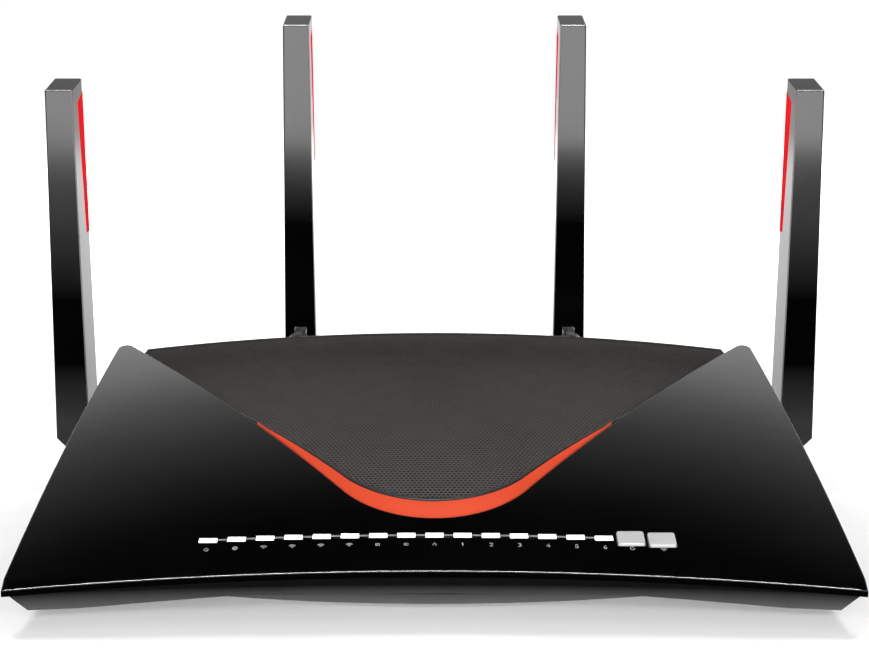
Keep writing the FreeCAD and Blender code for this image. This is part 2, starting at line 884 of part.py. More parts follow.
def main_board():
    board = box("BoardPlate", -s.board_width / 2, back(s.board_front_back), s.board_height, s.board_width,
                s.rear_corner_back - s.board_setback - s.board_front_back, s.board_thickness)
    holes = [
        cylinder(f"BoardHole{label}", "Z", x, y, 0, s.screw_radius + s.fit, s.parting_height)
        for label, x, y in board_hole_places()
    ]
    keep("main_board", cut("MainBoard", board, holes))


def shields():
    cans = []
    pads = []
    y = back(s.sink_centre_back)
    for index in range(SHIELDS):
        x = s.shield_pitch * (index - (SHIELDS - 1) / 2)
        cans.append(centred_box(f"ShieldCan{index}", x, y, board_top, s.shield_width, s.shield_depth,
                                s.shield_height))
        pads.append(centred_box(f"ThermalPad{index}", x, y, board_top + s.shield_height,
                                s.shield_width * s.pad_share, s.shield_depth * s.pad_share, s.pad_height))
    keep("shield_cans", group("ShieldCans", cans))
    keep("thermal_pads", group("ThermalPads", pads))


def heat_sink():
    y = back(s.sink_centre_back)
    base = centred_box("SinkBase", 0, y, sink_bottom, s.sink_width, s.sink_depth, s.sink_base)
    pitch = (s.sink_width - s.fin_thickness) / (FINS - 1)
    fins = [
        box(f"SinkFin{index}", pitch * index - s.sink_width / 2, y - s.sink_depth / 2, sink_bottom,
            s.fin_thickness, s.sink_depth, s.sink_base + s.fin_height)
        for index in range(FINS)
    ]
    keep("heat_sink", fuse("HeatSink", [base] + fins))


def fan():
    y = back(s.sink_centre_back)
    strut = s.hub_radius / 4
    block = centred_box("FanBlock", 0, y, fan_bottom, s.fan_size, s.fan_size, s.fan_height)
    tunnel = cylinder("FanTunnel", "Z", 0, y, 0, s.fan_bore / 2, s.top_room)
    base = strut / 2
    stator = [
        cylinder("FanStator", "Z", 0, y, fan_bottom, s.hub_radius, base),
        cylinder("FanShaft", "Z", 0, y, fan_bottom, s.shaft_radius, s.fan_height - base),
        centred_box("FanStrutAcross", 0, y, fan_bottom, s.fan_size, strut, base),
        centred_box("FanStrutAlong", 0, y, fan_bottom, strut, s.fan_size, base),
    ]
    keep("fan_frame", fuse("FanFrame", [cut("FanDuct", block, [tunnel])] + stator))
    hub_bottom = fan_bottom + base + s.gap
    hub = cylinder("FanHub", "Z", 0, y, hub_bottom, s.hub_radius, s.fan_height - base * 2 - s.gap)
    blades = []
    reach = s.fan_bore / 2 - s.blade_tip_gap
    root = s.hub_radius - s.blade_tip_gap
    for index in range(FAN_BLADES):
        slab = box(f"FanBladeSlab{index}", root, -s.blade_chord / 2, -s.fin_thickness / 2, reach - root,
                   s.blade_chord, s.fin_thickness)
        pitched = place(group(f"FanBladePitched{index}", [slab]), 0, 0, 0, (1, 0, 0), s.blade_pitch)
        blades.append(place(group(f"FanBlade{index}", [pitched]), 0, y,
                            fan_bottom + s.fan_height / 2 + base / 2, (0, 0, 1), 360 / FAN_BLADES * index))
    rotor = cut("FanRotor", fuse("FanRotorSolid", [hub] + blades),
                [cylinder("FanRotorBore", "Z", 0, y, 0, s.shaft_radius + s.fit, s.top_room)])
    keep("fan_rotor", rotor)


# ---------------------------------------------------------------- rear connectors

def jack(node, x):
    """A network jack with its plug socket and latch notch open to the rear."""
    rear = back(s.rear_corner_back)
    shell = box(node + "Shell", x - s.jack_width / 2, rear - s.jack_depth, board_top,
                s.jack_width, s.jack_depth, s.jack_height)
    socket = box(node + "Socket", x - s.socket_width / 2, rear - s.socket_depth, board_top + s.socket_lift,
                 s.socket_width, s.jack_depth, s.socket_height)
    notch = box(node + "Notch", x - s.socket_width / 4, rear - s.socket_depth,
                board_top + s.socket_lift + s.socket_height, s.socket_width / 2, s.jack_depth, s.socket_lift)
    keep(node, cut(node + "Jack", shell, [socket, notch]))


def sfp_cage():
    rear = back(s.rear_corner_back)
    shell = box("CageShell", s.cage_x - s.cage_width / 2, rear - s.cage_depth, board_top,
                s.cage_width, s.cage_depth, s.cage_height)
    room = box("CageRoom", s.cage_x - s.cage_width / 2 + s.cage_wall, rear - s.cage_depth + s.cage_wall,
               board_top + s.cage_wall, s.cage_width - s.cage_wall * 2, s.cage_depth,
               s.cage_height - s.cage_wall * 2)
    keep("sfp_cage", cut("SfpCage", shell, [room]))


def usb_port(node, x):
    rear = back(s.rear_corner_back)
    shell = box(node + "Shell", x - s.usb_width / 2, rear - s.usb_depth, board_top,
                s.usb_width, s.usb_depth, s.usb_height)
    room = box(node + "Room", x - s.usb_width / 2 + s.usb_wall, rear - s.usb_depth + s.usb_wall * 4,
               board_top + s.usb_wall, s.usb_width - s.usb_wall * 2, s.usb_depth,
               s.usb_height - s.usb_wall * 2)
    tongue = box(node + "Tongue", x - s.usb_tongue_width / 2, rear - s.usb_depth,
                 board_top + s.usb_height / 2, s.usb_tongue_width, s.usb_depth - s.usb_wall * 4, s.usb_tongue)
    keep(node, fuse(node + "Port", [cut(node + "Box", shell, [room]), tongue]))


def dc_jack():
    rear = back(s.rear_corner_back)
    depth = s.dc_width + s.wall
    middle = board_top + s.dc_width / 2
    shell = box("DcShell", s.dc_x - s.dc_width / 2, rear - depth, board_top, s.dc_width, depth, s.dc_width)
    bore = cylinder("DcBore", "Y", s.dc_x, rear - depth + s.wall * 2, middle, s.dc_bore / 2, depth)
    pin = cylinder("DcPin", "Y", s.dc_x, rear - depth, middle, s.dc_pin / 2, depth - s.wall / 2)
    keep("dc_jack", fuse("DcJack", [cut("DcBody", shell, [bore]), pin]))


def rear_controls():
    """Power button, reset button and lights switch, each in front of its switch on the board."""
    outside = back(s.rear_corner_back)
    inside = outside - s.panel_thickness
    stop = inside - s.gap - s.button_flange
    level = s.rear_button_height
    power = [
        cylinder("PowerCap", "Y", s.power_x, stop, level, s.power_radius,
                 outside + s.power_rise - stop),
        cylinder("PowerSkirt", "Y", s.power_x, stop, level, s.power_radius + s.button_skirt, s.button_flange),
    ]
    keep("power_button", fuse("PowerButton", power))
    reset = [
        cylinder("ResetCap", "Y", s.reset_x, stop, level, s.reset_radius, inside + s.gap - stop),
        cylinder("ResetSkirt", "Y", s.reset_x, stop, level, s.reset_radius + s.button_skirt, s.button_flange),
    ]
    keep("reset_button", fuse("ResetButton", reset))
    lever_back = inside - s.gap - s.lever_width
    lever = [
        box("LeverTip", s.light_switch_x - s.lever_width / 2, lever_back, level - s.lever_height / 2,
            s.lever_width, outside + s.power_rise - lever_back, s.lever_height),
        box("LeverFoot", s.light_switch_x - s.lever_width / 2, lever_back, level - s.lever_height,
            s.lever_width, s.lever_width, s.lever_height * 2),
    ]
    keep("light_switch_lever", fuse("LightSwitchLever", lever))
    body_top = level + s.lever_height - board_top
    bodies = [
        centred_box("PowerSwitchBody", s.power_x, stop - s.power_travel - s.gap - s.switch_depth / 2,
                    board_top, s.switch_depth, s.switch_depth, body_top),
        centred_box("ResetSwitchBody", s.reset_x, stop - s.button_travel - s.gap - s.switch_depth / 4,
                    board_top, s.switch_depth / 2, s.switch_depth / 2, body_top),
        box("LightSwitchBody", s.light_switch_x - s.switch_depth / 2, lever_back - s.gap - s.switch_depth,
            board_top, s.switch_depth + s.light_switch_travel, s.switch_depth, body_top),
    ]
    keep("rear_switches", group("RearSwitches", bodies))


# ---------------------------------------------------------------- feet and screws

def feet():
    pads = []
    for side in (-1, 1):
        for row, distance in enumerate((s.foot_front_back, s.foot_rear_back)):
            pads.append(cylinder(f"Foot{row}{'Left' if side < 0 else 'Right'}", "Z", s.foot_x * side,
                                 back(distance), 0, s.foot_radius, s.foot_height))
    keep("rubber_feet", group("RubberFeet", pads))


def screws():
    housing = []
    for label, x, y in post_places():
        head = cylinder(f"ScrewHead{label}", "Z", x, y, underside, s.screw_head_radius, s.screw_head_height)
        shank = cylinder(f"ScrewShank{label}", "Z", x, y, underside, s.screw_radius,
                         s.parting_height + s.upper_post_height - underside - s.wall / 2)
        housing.append(fuse(f"HousingScrew{label}", [head, shank]))
    keep("housing_screws", group("HousingScrews", housing))
    board = []
    for label, x, y in board_hole_places():
        head = cylinder(f"BoardHead{label}", "Z", x, y, board_top, s.screw_head_radius, s.screw_head_height)
        shank = cylinder(f"BoardShank{label}", "Z", x, y, floor_top, s.screw_radius, board_top - floor_top)
        board.append(fuse(f"BoardScrew{label}", [head, shank]))
    keep("board_screws", group("BoardScrews", board))


# ---------------------------------------------------------------- antennas

def at_hinge(place_name, item):
    """Put an antenna piece, modelled about its hinge, where the right-hand antenna of a pair stands."""
    if place_name == "side":
        return place(item, s.side_hinge_x, back(side_hinge_back), s.side_hinge_height)
    return place(item, s.rear_hinge_x, back(rear_hinge_back), s.rear_hinge_height)


def keep_pair(place_name, piece, item):
    """Keep a right-hand piece and its mirror image on the left."""
    keep(f"{place_name}_right_{piece}", item)
    keep(f"{place_name}_left_{piece}", mirror(f"{place_name.title()}Left{piece.title()}", item))


def antenna_profile(name, inner_shift, outer_shift):
    """Front view of the blade between two lines parallel to its inner side."""
    base = s.antenna_base_width / 2
    top = s.antenna_top_width / 2
    height = s.antenna_front_top + s.antenna_crown
    if outer_shift is None:
        points = [
            (-base + inner_shift, -s.antenna_foot),
            (base - s.antenna_foot_cut, -s.antenna_foot),
            (base, s.antenna_foot_cut - s.antenna_foot),
            (top, height),
            (-top + inner_shift, height),
        ]
    else:
        points = [
            (-base + inner_shift, -s.antenna_foot),
            (-base + outer_shift, -s.antenna_foot),
            (-top + outer_shift, height),
            (-top + inner_shift, height),
        ]
    return extrusion(name, points, s.antenna_base_depth * 2, "Y", y=s.antenna_base_depth)


def antenna(place_name):
    tag = place_name.title()
    width = s.antenna_base_width
    half_base = s.antenna_base_depth / 2
    half_top = s.antenna_top_depth / 2
    front = antenna_profile(tag + "Front", amount(0), None)
    side_view = extrusion(tag + "SideView", [
        (-half_base, -s.antenna_foot),
        (half_base, -s.antenna_foot),
        (half_top, s.antenna_front_top + s.antenna_crown),
        (-half_top, s.antenna_front_top),
    ], width * 2, "X", x=-width)
    bar = common(tag + "Bar", front, side_view)
    accent = antenna_accent(tag, bar)
    tools = [accent] + fork_tools(place_name)
    blade = cut(tag + "Blade", bar, tools)
    keep_pair(place_name, "blade", at_hinge(place_name, group(tag + "BladeHeld", [blade])))
    keep_pair(place_name, "accent", at_hinge(place_name, group(tag + "AccentHeld", [accent])))
    keep_pair(place_name, "knuckle", at_hinge(place_name, group(tag + "KnuckleHeld", [knuckle(place_name)])))
    keep_pair(place_name, "hinge_pin", at_hinge(place_name, group(tag + "PinHeld", [hinge_pin(place_name)])))
    keep_pair(place_name, "connector", connector(place_name))


def antenna_accent(tag, bar):
    """The coloured wedge let into the rear of the inner side."""
    half_top = s.antenna_top_depth
    top = s.antenna_front_top - s.accent_thickness
    low = top - s.accent_length
    rear = s.antenna_base_depth / 2
    strip_front = s.antenna_top_depth / 2 - s.accent_top_depth
    foot_front = s.antenna_top_depth / 2 - s.accent_foot_depth
    side_view = extrusion(tag + "AccentSide", [
        (foot_front, low),
        (rear, low),
        (rear, top),
        (strip_front, top - s.antenna_crown),
    ], half_top * 2, "X", x=-half_top)
    slab = antenna_profile(tag + "AccentSlab", amount(0), s.accent_thickness)
    wedge = common(tag + "AccentWedge", side_view, slab)
    return common(tag + "Accent", bar, wedge)


def fork_tools(place_name):
    """Slot and pin hole in the foot of a blade; the slot opens towards the housing and downwards."""
    low = -s.antenna_foot * 2
    height = s.fork_top - low
    if place_name == "side":
        half = s.side_tongue / 2 + s.gap
        slot = box("SideSlot", -s.antenna_base_width, -half, low, s.antenna_base_width + s.fork_reach,
                   half * 2, height)
        hole = cylinder("SidePinHole", "Y", 0, -s.side_pin_length / 2 - s.fit, 0, s.hinge_pin_radius + s.fit,
                        s.side_pin_length + s.fit * 2)
    else:
        half = s.rear_tongue / 2 + s.gap
        slot = box("RearSlot", -half, -s.antenna_base_depth, low, half * 2,
                   s.antenna_base_depth + s.fork_reach, height)
        hole = cylinder("RearPinHole", "X", -s.rear_pin_length / 2 - s.fit, 0, 0, s.hinge_pin_radius + s.fit,
                        s.rear_pin_length + s.fit * 2)
    return [slot, hole]


def knuckle(place_name):
    """Swivel barrel with the hinge tongue in front of it."""
    wide = s.tongue_radius * 2
    bore_length = s.stub_depth + s.gap * 2
    if place_name == "side":
        start = s.side_barrel_start
        tongue = s.side_tongue
        pieces = [
            box("SideTongue", -start - s.gap, -tongue / 2, -s.tongue_radius, start + s.gap, tongue, wide),
            cylinder("SideTongueEnd", "Y", 0, -tongue / 2, 0, s.tongue_radius, tongue),
            cylinder("SideBarrel", "X", -s.barrel_end, 0, 0, s.barrel_radius, s.barrel_end - start),
        ]
        tools = [
            cylinder("SideTongueHole", "Y", 0, -tongue, 0, s.hinge_pin_radius, tongue * 2),
            cylinder("SideBore", "X", -s.barrel_end, 0, 0, s.stub_radius + s.fit, bore_length),
        ]
        return cut("SideKnuckle", fuse("SideKnuckleSolid", pieces), tools)
    start = s.rear_barrel_start
    tongue = s.rear_tongue
    pieces = [
        box("RearTongue", -tongue / 2, -start - s.gap, -s.tongue_radius, tongue, start + s.gap, wide),
        cylinder("RearTongueEnd", "X", -tongue / 2, 0, 0, s.tongue_radius, tongue),
        cylinder("RearBarrel", "Y", 0, -s.barrel_end, 0, s.barrel_radius, s.barrel_end - start),
    ]
    tools = [
        cylinder("RearTongueHole", "X", -tongue, 0, 0, s.hinge_pin_radius, tongue * 2),
        cylinder("RearBore", "Y", 0, -s.barrel_end, 0, s.stub_radius + s.fit, bore_length),
    ]
    return cut("RearKnuckle", fuse("RearKnuckleSolid", pieces), tools)


def hinge_pin(place_name):
    if place_name == "side":
        return cylinder("SideHingePin", "Y", 0, -s.side_pin_length / 2, 0, s.hinge_pin_radius,
                        s.side_pin_length)
    return cylinder("RearHingePin", "X", -s.rear_pin_length / 2, 0, 0, s.hinge_pin_radius, s.rear_pin_length)


def connector(place_name):
    """Fixed threaded stub with its flange outside the wall and its nut inside."""
    nut = s.flange_thickness
    if place_name == "side":
        y = back(side_hinge_back)
        level = s.side_hinge_height
        tail = s.cavity_half_width - nut * 2
        return fuse("SideConnector", [
            cylinder("SideStub", "X", tail, y, level, s.stub_radius,
                     side_boss_face + s.flange_thickness + s.stub_depth - tail),
            cylinder("SideFlange", "X", side_boss_face, y, level, s.flange_radius, s.flange_thickness),
            cylinder("SideNut", "X", s.cavity_half_width - nut, y, level, s.nut_radius, nut),
        ])
    seat = rear_boss_face - s.socket_boss_depth
    tail = seat - nut * 2
    x = s.rear_hinge_x
    level = s.rear_hinge_height
    return fuse("RearConnector", [
        cylinder("RearStub", "Y", x, back(tail), level, s.stub_radius,
                 rear_boss_face + s.flange_thickness + s.stub_depth - tail),
        cylinder("RearFlange", "Y", x, back(rear_boss_face), level, s.flange_radius, s.flange_thickness),
        cylinder("RearNut", "Y", x, back(seat - nut), level, s.nut_radius, nut),
    ])


# ---------------------------------------------------------------- build, test and write

lower_housing()
upper_housing()
rear_panel()
top_cover()
accent_lip()
grille()
light_guide()
status_lights()
light_board()
front_buttons()
main_board()
shields()
heat_sink()
fan()
for number in range(LAN_JACKS):
    jack(f"lan_jack_{number + 1}", s.first_jack_x + s.jack_pitch * number)
jack("wan_jack", s.wan_jack_x)
sfp_cage()
for number in range(2):
    usb_port(f"usb_port_{number + 1}", s.usb_first_x - s.usb_pitch * number)
dc_jack()
rear_controls()
feet()
screws()
for name in ("side", "rear"):
    antenna(name)

doc.recompute()

for item in doc.Objects:
    faults = [state for state in item.State if state in ("Invalid", "Error")]
    if faults:
        raise RuntimeError(f"{item.Name} failed to build: {faults}")
for node, item in parts.items():
    if item.Shape.isNull() or not item.Shape.isValid() or not item.Shape.Solids:
        raise RuntimeError(f"{node} has no valid solid")

os.makedirs("parts", exist_ok=True)
for node, item in parts.items():
    item.Shape.exportStep(f"parts/{node}.step")
    print(node, len(item.Shape.Solids), round(item.Shape.Volume, 1))
print(len(parts), "nodes")
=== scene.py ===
import json
import math

import bmesh
import bpy
from mathutils import Matrix, Vector
from mathutils.geometry import tessellate_polygon

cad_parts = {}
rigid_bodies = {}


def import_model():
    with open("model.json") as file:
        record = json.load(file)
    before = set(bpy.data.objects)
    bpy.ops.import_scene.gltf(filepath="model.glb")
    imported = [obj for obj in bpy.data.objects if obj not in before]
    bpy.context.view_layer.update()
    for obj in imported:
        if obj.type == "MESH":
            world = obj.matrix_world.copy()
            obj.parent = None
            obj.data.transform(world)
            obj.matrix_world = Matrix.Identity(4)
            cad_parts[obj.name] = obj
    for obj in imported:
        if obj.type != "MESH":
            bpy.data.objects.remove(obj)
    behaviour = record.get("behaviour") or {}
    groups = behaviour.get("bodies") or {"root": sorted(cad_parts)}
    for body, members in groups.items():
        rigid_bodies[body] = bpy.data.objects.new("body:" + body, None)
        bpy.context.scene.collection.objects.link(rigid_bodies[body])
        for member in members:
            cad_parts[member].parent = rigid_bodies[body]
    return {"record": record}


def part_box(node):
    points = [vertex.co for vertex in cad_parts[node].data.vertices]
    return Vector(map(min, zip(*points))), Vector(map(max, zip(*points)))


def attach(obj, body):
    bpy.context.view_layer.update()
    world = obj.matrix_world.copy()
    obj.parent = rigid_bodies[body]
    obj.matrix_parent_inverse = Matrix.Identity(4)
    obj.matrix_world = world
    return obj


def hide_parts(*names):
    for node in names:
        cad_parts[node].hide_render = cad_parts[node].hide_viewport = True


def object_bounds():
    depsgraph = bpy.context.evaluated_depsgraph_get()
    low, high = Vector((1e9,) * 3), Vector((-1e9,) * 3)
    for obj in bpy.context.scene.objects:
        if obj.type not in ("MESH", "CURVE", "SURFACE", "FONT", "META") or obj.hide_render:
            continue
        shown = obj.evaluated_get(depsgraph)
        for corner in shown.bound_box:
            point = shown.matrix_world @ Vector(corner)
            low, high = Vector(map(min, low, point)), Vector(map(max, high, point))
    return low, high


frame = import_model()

CAD_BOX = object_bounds()
MM = 0.001

# ---------------------------------------------------------------- places and sizes

# The cover's top surface is a plane that rises to the back; its front corners touch the front of the box.
FRONT_Y = CAD_BOX[0][1]
COVER_FRONT_HEIGHT = 11.5 * MM
COVER_SLOPE = math.radians(18.7)
RISE = math.tan(COVER_SLOPE)
COVER_THICKNESS = 2.6 * MM
COVER_RIM = 0.5 * MM
SLOT_RIM = 0.1 * MM

FRONT_HALF_WIDTH = 161 * MM
FRONT_RADIUS = 1194 * MM
CORNER = (161.7 * MM, 6.9 * MM)
SIDE_RADIUS = 1930 * MM
WING = (150.3 * MM, 171 * MM)
WING_TIP_RADIUS = 4 * MM
VEE_TIP = (144.3 * MM, 172.6 * MM)
VEE_BEND = (38 * MM, 61.5 * MM)
VEE_BEND_RADIUS = 48 * MM
LONG_RADIUS = 880 * MM
LIP_BEND = (36 * MM, 65 * MM)
LIP_BEND_RADIUS = 50 * MM
LIP_END = (77.5 * MM, 109.2 * MM)
GRILLE_BEND = (35.4 * MM, 63.3 * MM)

GRILLE_CREST = (245 * MM, 65.9 * MM)
GRILLE_LENGTH_RADIUS = 580 * MM
GRILLE_WIDTH_RADIUS = 1700 * MM
GRILLE_THICKNESS = 1.5 * MM
GRILLE_REAR = (145.5 * MM, 218 * MM)
GRILLE_REAR_RADIUS = 1107 * MM
HOLE_PITCH = 1.8 * MM
GRILLE_RIM = 1.2 * MM

LIGHT_PITCH = 11 * MM
LIGHT_ROW = 32 * MM
LIGHT_SIZE = (7 * MM, 2.8 * MM)
LIGHT_INDICES = range(-8, 7)
BUTTONS = {"wps_button": 76.4 * MM, "wifi_button": 88.4 * MM}
BUTTON_SIZE = (10.6 * MM, 8.2 * MM)
BUTTON_RISE = 0.8 * MM
GAP = 0.3 * MM
FIT = 0.05 * MM
HOUSING_FOOT = 4.8 * MM
BELLY_DROP = 1.4 * MM
LIP_FOOT_END = (77.6 * MM, 108.6 * MM)

LIP_DROP = 0.3 * MM
OPENING_CORNER = 0.35 * MM
WINDOW_CORNER = 0.3 * MM
BUTTON_CORNER = 1.1 * MM

# Antennas: each hinge's distance from the middle, distance back and height; widths and depths at foot and
# top; the slot in each fork as two opposite corners measured from the hinge; and the hole for its pin.
HINGES = {"side": (181 * MM, 211 * MM, 25 * MM), "rear": (71 * MM, 263.5 * MM, 56.6 * MM)}
ANTENNA_FOOT = 14 * MM
ANTENNA_TOP = 164.5 * MM
ANTENNA_CROWN = 5.3 * MM
ANTENNA_WIDTH = (16.8 * MM, 13.3 * MM)
ANTENNA_DEPTH = (23 * MM, 21 * MM)
FOOT_CUT = 6 * MM
ACCENT_LENGTH = 70 * MM
ACCENT_THICKNESS = 0.8 * MM
FORK_SLOTS = {
    "side": ((-20 * MM, -4.3 * MM, -28 * MM), (6.9 * MM, 4.3 * MM, 7.5 * MM)),
    "rear": ((-3.3 * MM, -24 * MM, -28 * MM), (3.3 * MM, 6.9 * MM, 7.5 * MM)),
}
PIN_AXIS = {"side": "Y", "rear": "X"}
PIN_HOLE_LENGTH = {"side": 18 * MM, "rear": 13 * MM}
PIN_HOLE_RADIUS = 2.05 * MM

# Signs printed beside the lights and sockets: width, height and line.
SIGN_SIZE = 1.9 * MM
SIGN_BELOW_LIGHT = 6.4 * MM
COVER_LINE = 0.2 * MM
PANEL_LINE = 0.22 * MM
PANEL_SIGN_FOOT = 27.2 * MM
PRINT_HEIGHT = 0.02 * MM
LIGHT_BAR_WIDTH = 0.9 * MM

# Front of the lower housing: heights of its edge beside the belly and at the corners, where the edge falls,
# and where the change fades out towards the back.
SKIRT_MIDDLE = 5.7 * MM
SKIRT_FALL = 2.9 * MM
SKIRT_START = 78 * MM
SKIRT_RUN = 54 * MM
SKIRT_FADE = (14 * MM, 50 * MM)
BELLY_FADE = (30 * MM, 50 * MM)

# Sprung contacts in each network socket: how many, and where the first lies from the socket's top rear edge.
CONTACT_COUNT = 8
CONTACT_PITCH = 1.02 * MM
CONTACT_WIDTH = 0.3 * MM
CONTACT_LENGTH = 5 * MM
CONTACT_AHEAD = 8.5 * MM
CONTACT_BELOW = 5.2 * MM
CONTACT_TILT = math.radians(68)

# Camera: sensor and lens, then its distance in front of the cover, its height and how far it looks down.
SENSOR_WIDTH = 36
LENS = 62.14
CAMERA_AHEAD = 529.2 * MM
CAMERA_HEIGHT = 209.4 * MM
CAMERA_DOWN = 10.5


def back(distance):
    """Y of a point that lies this far behind the front corners of the cover."""
    return FRONT_Y + distance


def cover_height(distance):
    """Height of the cover's top surface this far behind its front corners."""
    return COVER_FRONT_HEIGHT + distance * RISE


def grille_height(x, distance):
    """Height of the domed grille: curved along its length and, more gently, across its width."""
    along = distance - GRILLE_CREST[0]
    reach = GRILLE_WIDTH_RADIUS - GRILLE_LENGTH_RADIUS
    reach += math.sqrt(GRILLE_LENGTH_RADIUS * GRILLE_LENGTH_RADIUS - along * along)
    return GRILLE_CREST[1] - GRILLE_WIDTH_RADIUS + math.sqrt(reach * reach - x * x)


# ---------------------------------------------------------------- outlines

def arc(start, end, radius, side, step):
    """Points along an arc from start up to, but not including, end; side is 1 for a bulge to the left."""
    start, end = Vector(start), Vector(end)
    chord = end - start
    across = Vector((-chord.y, chord.x)).normalized()
    lift = math.sqrt(max(radius * radius - chord.length_squared / 4, 0))
    centre = (start + end) / 2 - across * side * lift
    first = start - centre
    turn = -2 * math.asin(min(chord.length / 2 / radius, 1)) * side
    count = max(2, math.ceil(radius * abs(turn) / step))
    return [tuple(centre + Matrix.Rotation(turn * i / count, 2) @ first) for i in range(count)]


def loop_of(corners, step=4 * MM):
    """Closed outline from corners (x, y) or (x, y, radius, side); the last two shape the run to the next."""
    loop = []
    for corner, following in zip(corners, corners[1:] + corners[:1]):
        if len(corner) == 2:
            loop.append(tuple(corner))
        else:
            loop += arc(corner[:2], following[:2], corner[2], corner[3], step)
    return loop


def both_sides(right, front=(), rear=()):
    """Close a right-hand list of corners with its mirror image."""
    left = []
    for index in range(len(right) - 1, -1, -1):
        run = right[index - 1][2:] if index else front
        left.append((-right[index][0], right[index][1]) + tuple(run))
    return list(right[:-1]) + [tuple(right[-1][:2]) + tuple(rear)] + left


def rectangle(x, y, width, depth):
    """Outline of a rectangle round its middle."""
    return [
        (x - width / 2, y - depth / 2),
        (x + width / 2, y - depth / 2),
        (x + width / 2, y + depth / 2),
        (x - width / 2, y + depth / 2),
    ]


def rounded(loop, radius, segments=4):
    """Round the corners of a closed outline."""
    soft = []
    for index, point in enumerate(loop):
        here = Vector(point)
        before = Vector(loop[index - 1]) - here
        after = Vector(loop[(index + 1) % len(loop)]) - here
        angle = before.angle(after)
        reach = radius / math.tan(angle / 2)
        first = here + before.normalized() * reach
        last = here + after.normalized() * reach
        centre = here + (before.normalized() + after.normalized()).normalized() * radius / math.sin(angle / 2)
        start = first - centre
        turn = start.angle_signed(last - centre)
        for step in range(segments + 1):
            soft.append(tuple(centre + Matrix.Rotation(-turn * step / segments, 2) @ start))
    return soft


def area_of(loop):
    """Area inside an outline; below zero when it runs clockwise."""
    return sum(a[0] * b[1] - b[0] * a[1] for a, b in zip(loop, loop[1:] + loop[:1])) / 2


def moved_in(loop, distance):
    """An outline moved towards its material by a distance, with mitred corners."""
    moved = []
    for index, point in enumerate(loop):
        here = Vector(point)
        before = (here - Vector(loop[index - 1])).normalized()
        after = (Vector(loop[(index + 1) % len(loop)]) - here).normalized()
        normal = Vector((-before.y, before.x)) + Vector((-after.y, after.x))
        share = max(normal.length_squared / 2, 0.2)
        moved.append(tuple(here + normal * distance / share))
    return moved


# ---------------------------------------------------------------- meshes

def new_piece(name, mesh):
    """An object for a mesh, placed at the origin."""
    piece = bpy.data.objects.new(name, mesh)
    bpy.context.scene.collection.objects.link(piece)
    return piece


def rim_steps(radius, segments):
    """Inset and drop of each ring of a rounded rim, from the flat face outwards."""
    if not radius:
        return [(0, 0)]
    steps = []
    for index in range(segments + 1):
        turn = math.pi / 2 * index / segments
        steps.append((radius * (1 - math.sin(turn)), radius * (1 - math.cos(turn))))
    return steps


def slab(name, loops, bottom, top, shape, rim=0.0, low_rim=None, segments=3, hole_rim=None):
    """A solid plate with rounded rims: loops[0] is its outline and the others are holes in it."""
    low_rim = rim if low_rim is None else low_rim
    hole_rim = rim if hole_rim is None else hole_rim
    wound = [loops[0] if area_of(loops[0]) > 0 else loops[0][::-1]]
    wound += [hole if area_of(hole) < 0 else hole[::-1] for hole in loops[1:]]
    verts = []
    faces = []
    first_ring = []
    last_ring = []
    for loop in wound:
        high_rim = rim if loop is wound[0] else hole_rim
        under_rim = low_rim if loop is wound[0] else min(low_rim, hole_rim)
        rings = [(inset, top - drop) for inset, drop in rim_steps(high_rim, segments)]
        rings += [(inset, bottom + drop) for inset, drop in reversed(rim_steps(under_rim, segments))]
        count = len(loop)
        base = len(verts)
        for inset, height in rings:
            verts += [shape(x, y, height) for x, y in moved_in(loop, inset)]
        for ring in range(len(rings) - 1):
            for index in range(count):
                following = (index + 1) % count
                high = base + ring * count
                low = high + count
                faces.append((high + following, high + index, low + index, low + following))
        first_ring.append(range(base, base + count))
        last_ring.append(range(base + (len(rings) - 1) * count, base + len(rings) * count))
    insets = [rim if loop is wound[0] else hole_rim for loop in wound]
    flat = [[Vector((x, y, 0)) for x, y in moved_in(loop, inset)] for loop, inset in zip(wound, insets)]
    high = [number for ring in first_ring for number in ring]
    low = [number for ring in last_ring for number in ring]
    for corners in tessellate_polygon(flat):
        a, b, c = (flat_point(flat, number) for number in corners)
        if (b - a).cross(c - a).z < 0:
            corners = corners[::-1]
        faces.append(tuple(high[number] for number in corners))
        faces.append(tuple(low[number] for number in reversed(corners)))
    mesh = bpy.data.meshes.new(name)
    mesh.from_pydata(verts, [], faces)
    outward(mesh)
    return smooth(new_piece(name, mesh))


def flat_point(loops, number):
    """The point with this number, counted through all the outlines."""
    for loop in loops:
        if number < len(loop):
            return loop[number]
        number -= len(loop)
    return None


def smooth(piece, angle=35):
    """Smooth shading that keeps flat faces flat and real corners sharp."""
    piece.data.shade_smooth()
    piece.data.set_sharp_from_angle(angle=math.radians(angle))
    weighted = piece.modifiers.new("flat faces", "WEIGHTED_NORMAL")
    weighted.weight = 100
    weighted.keep_sharp = True
    return piece


def on_cover(x, y, z):
    """Plan position and height above the cover's top surface."""
    return (x, back(y), cover_height(y) + z / math.cos(COVER_SLOPE))


def applied(piece):
    """Turn a piece's modifiers into plain mesh."""
    result = piece.evaluated_get(bpy.context.evaluated_depsgraph_get())
    mesh = bpy.data.meshes.new_from_object(result)
    piece.modifiers.clear()
    piece.data = mesh
    return piece


def joined_copy(node):
    """A copy of a CAD node's mesh with its triangles joined into faces."""
    source = bpy.data.objects[node]
    bm = bmesh.new()
    bm.from_mesh(source.data)
    bmesh.ops.remove_doubles(bm, verts=bm.verts, dist=0.002 * MM)
    bmesh.ops.dissolve_limit(bm, angle_limit=math.radians(0.8), verts=bm.verts, edges=bm.edges)
    return bm


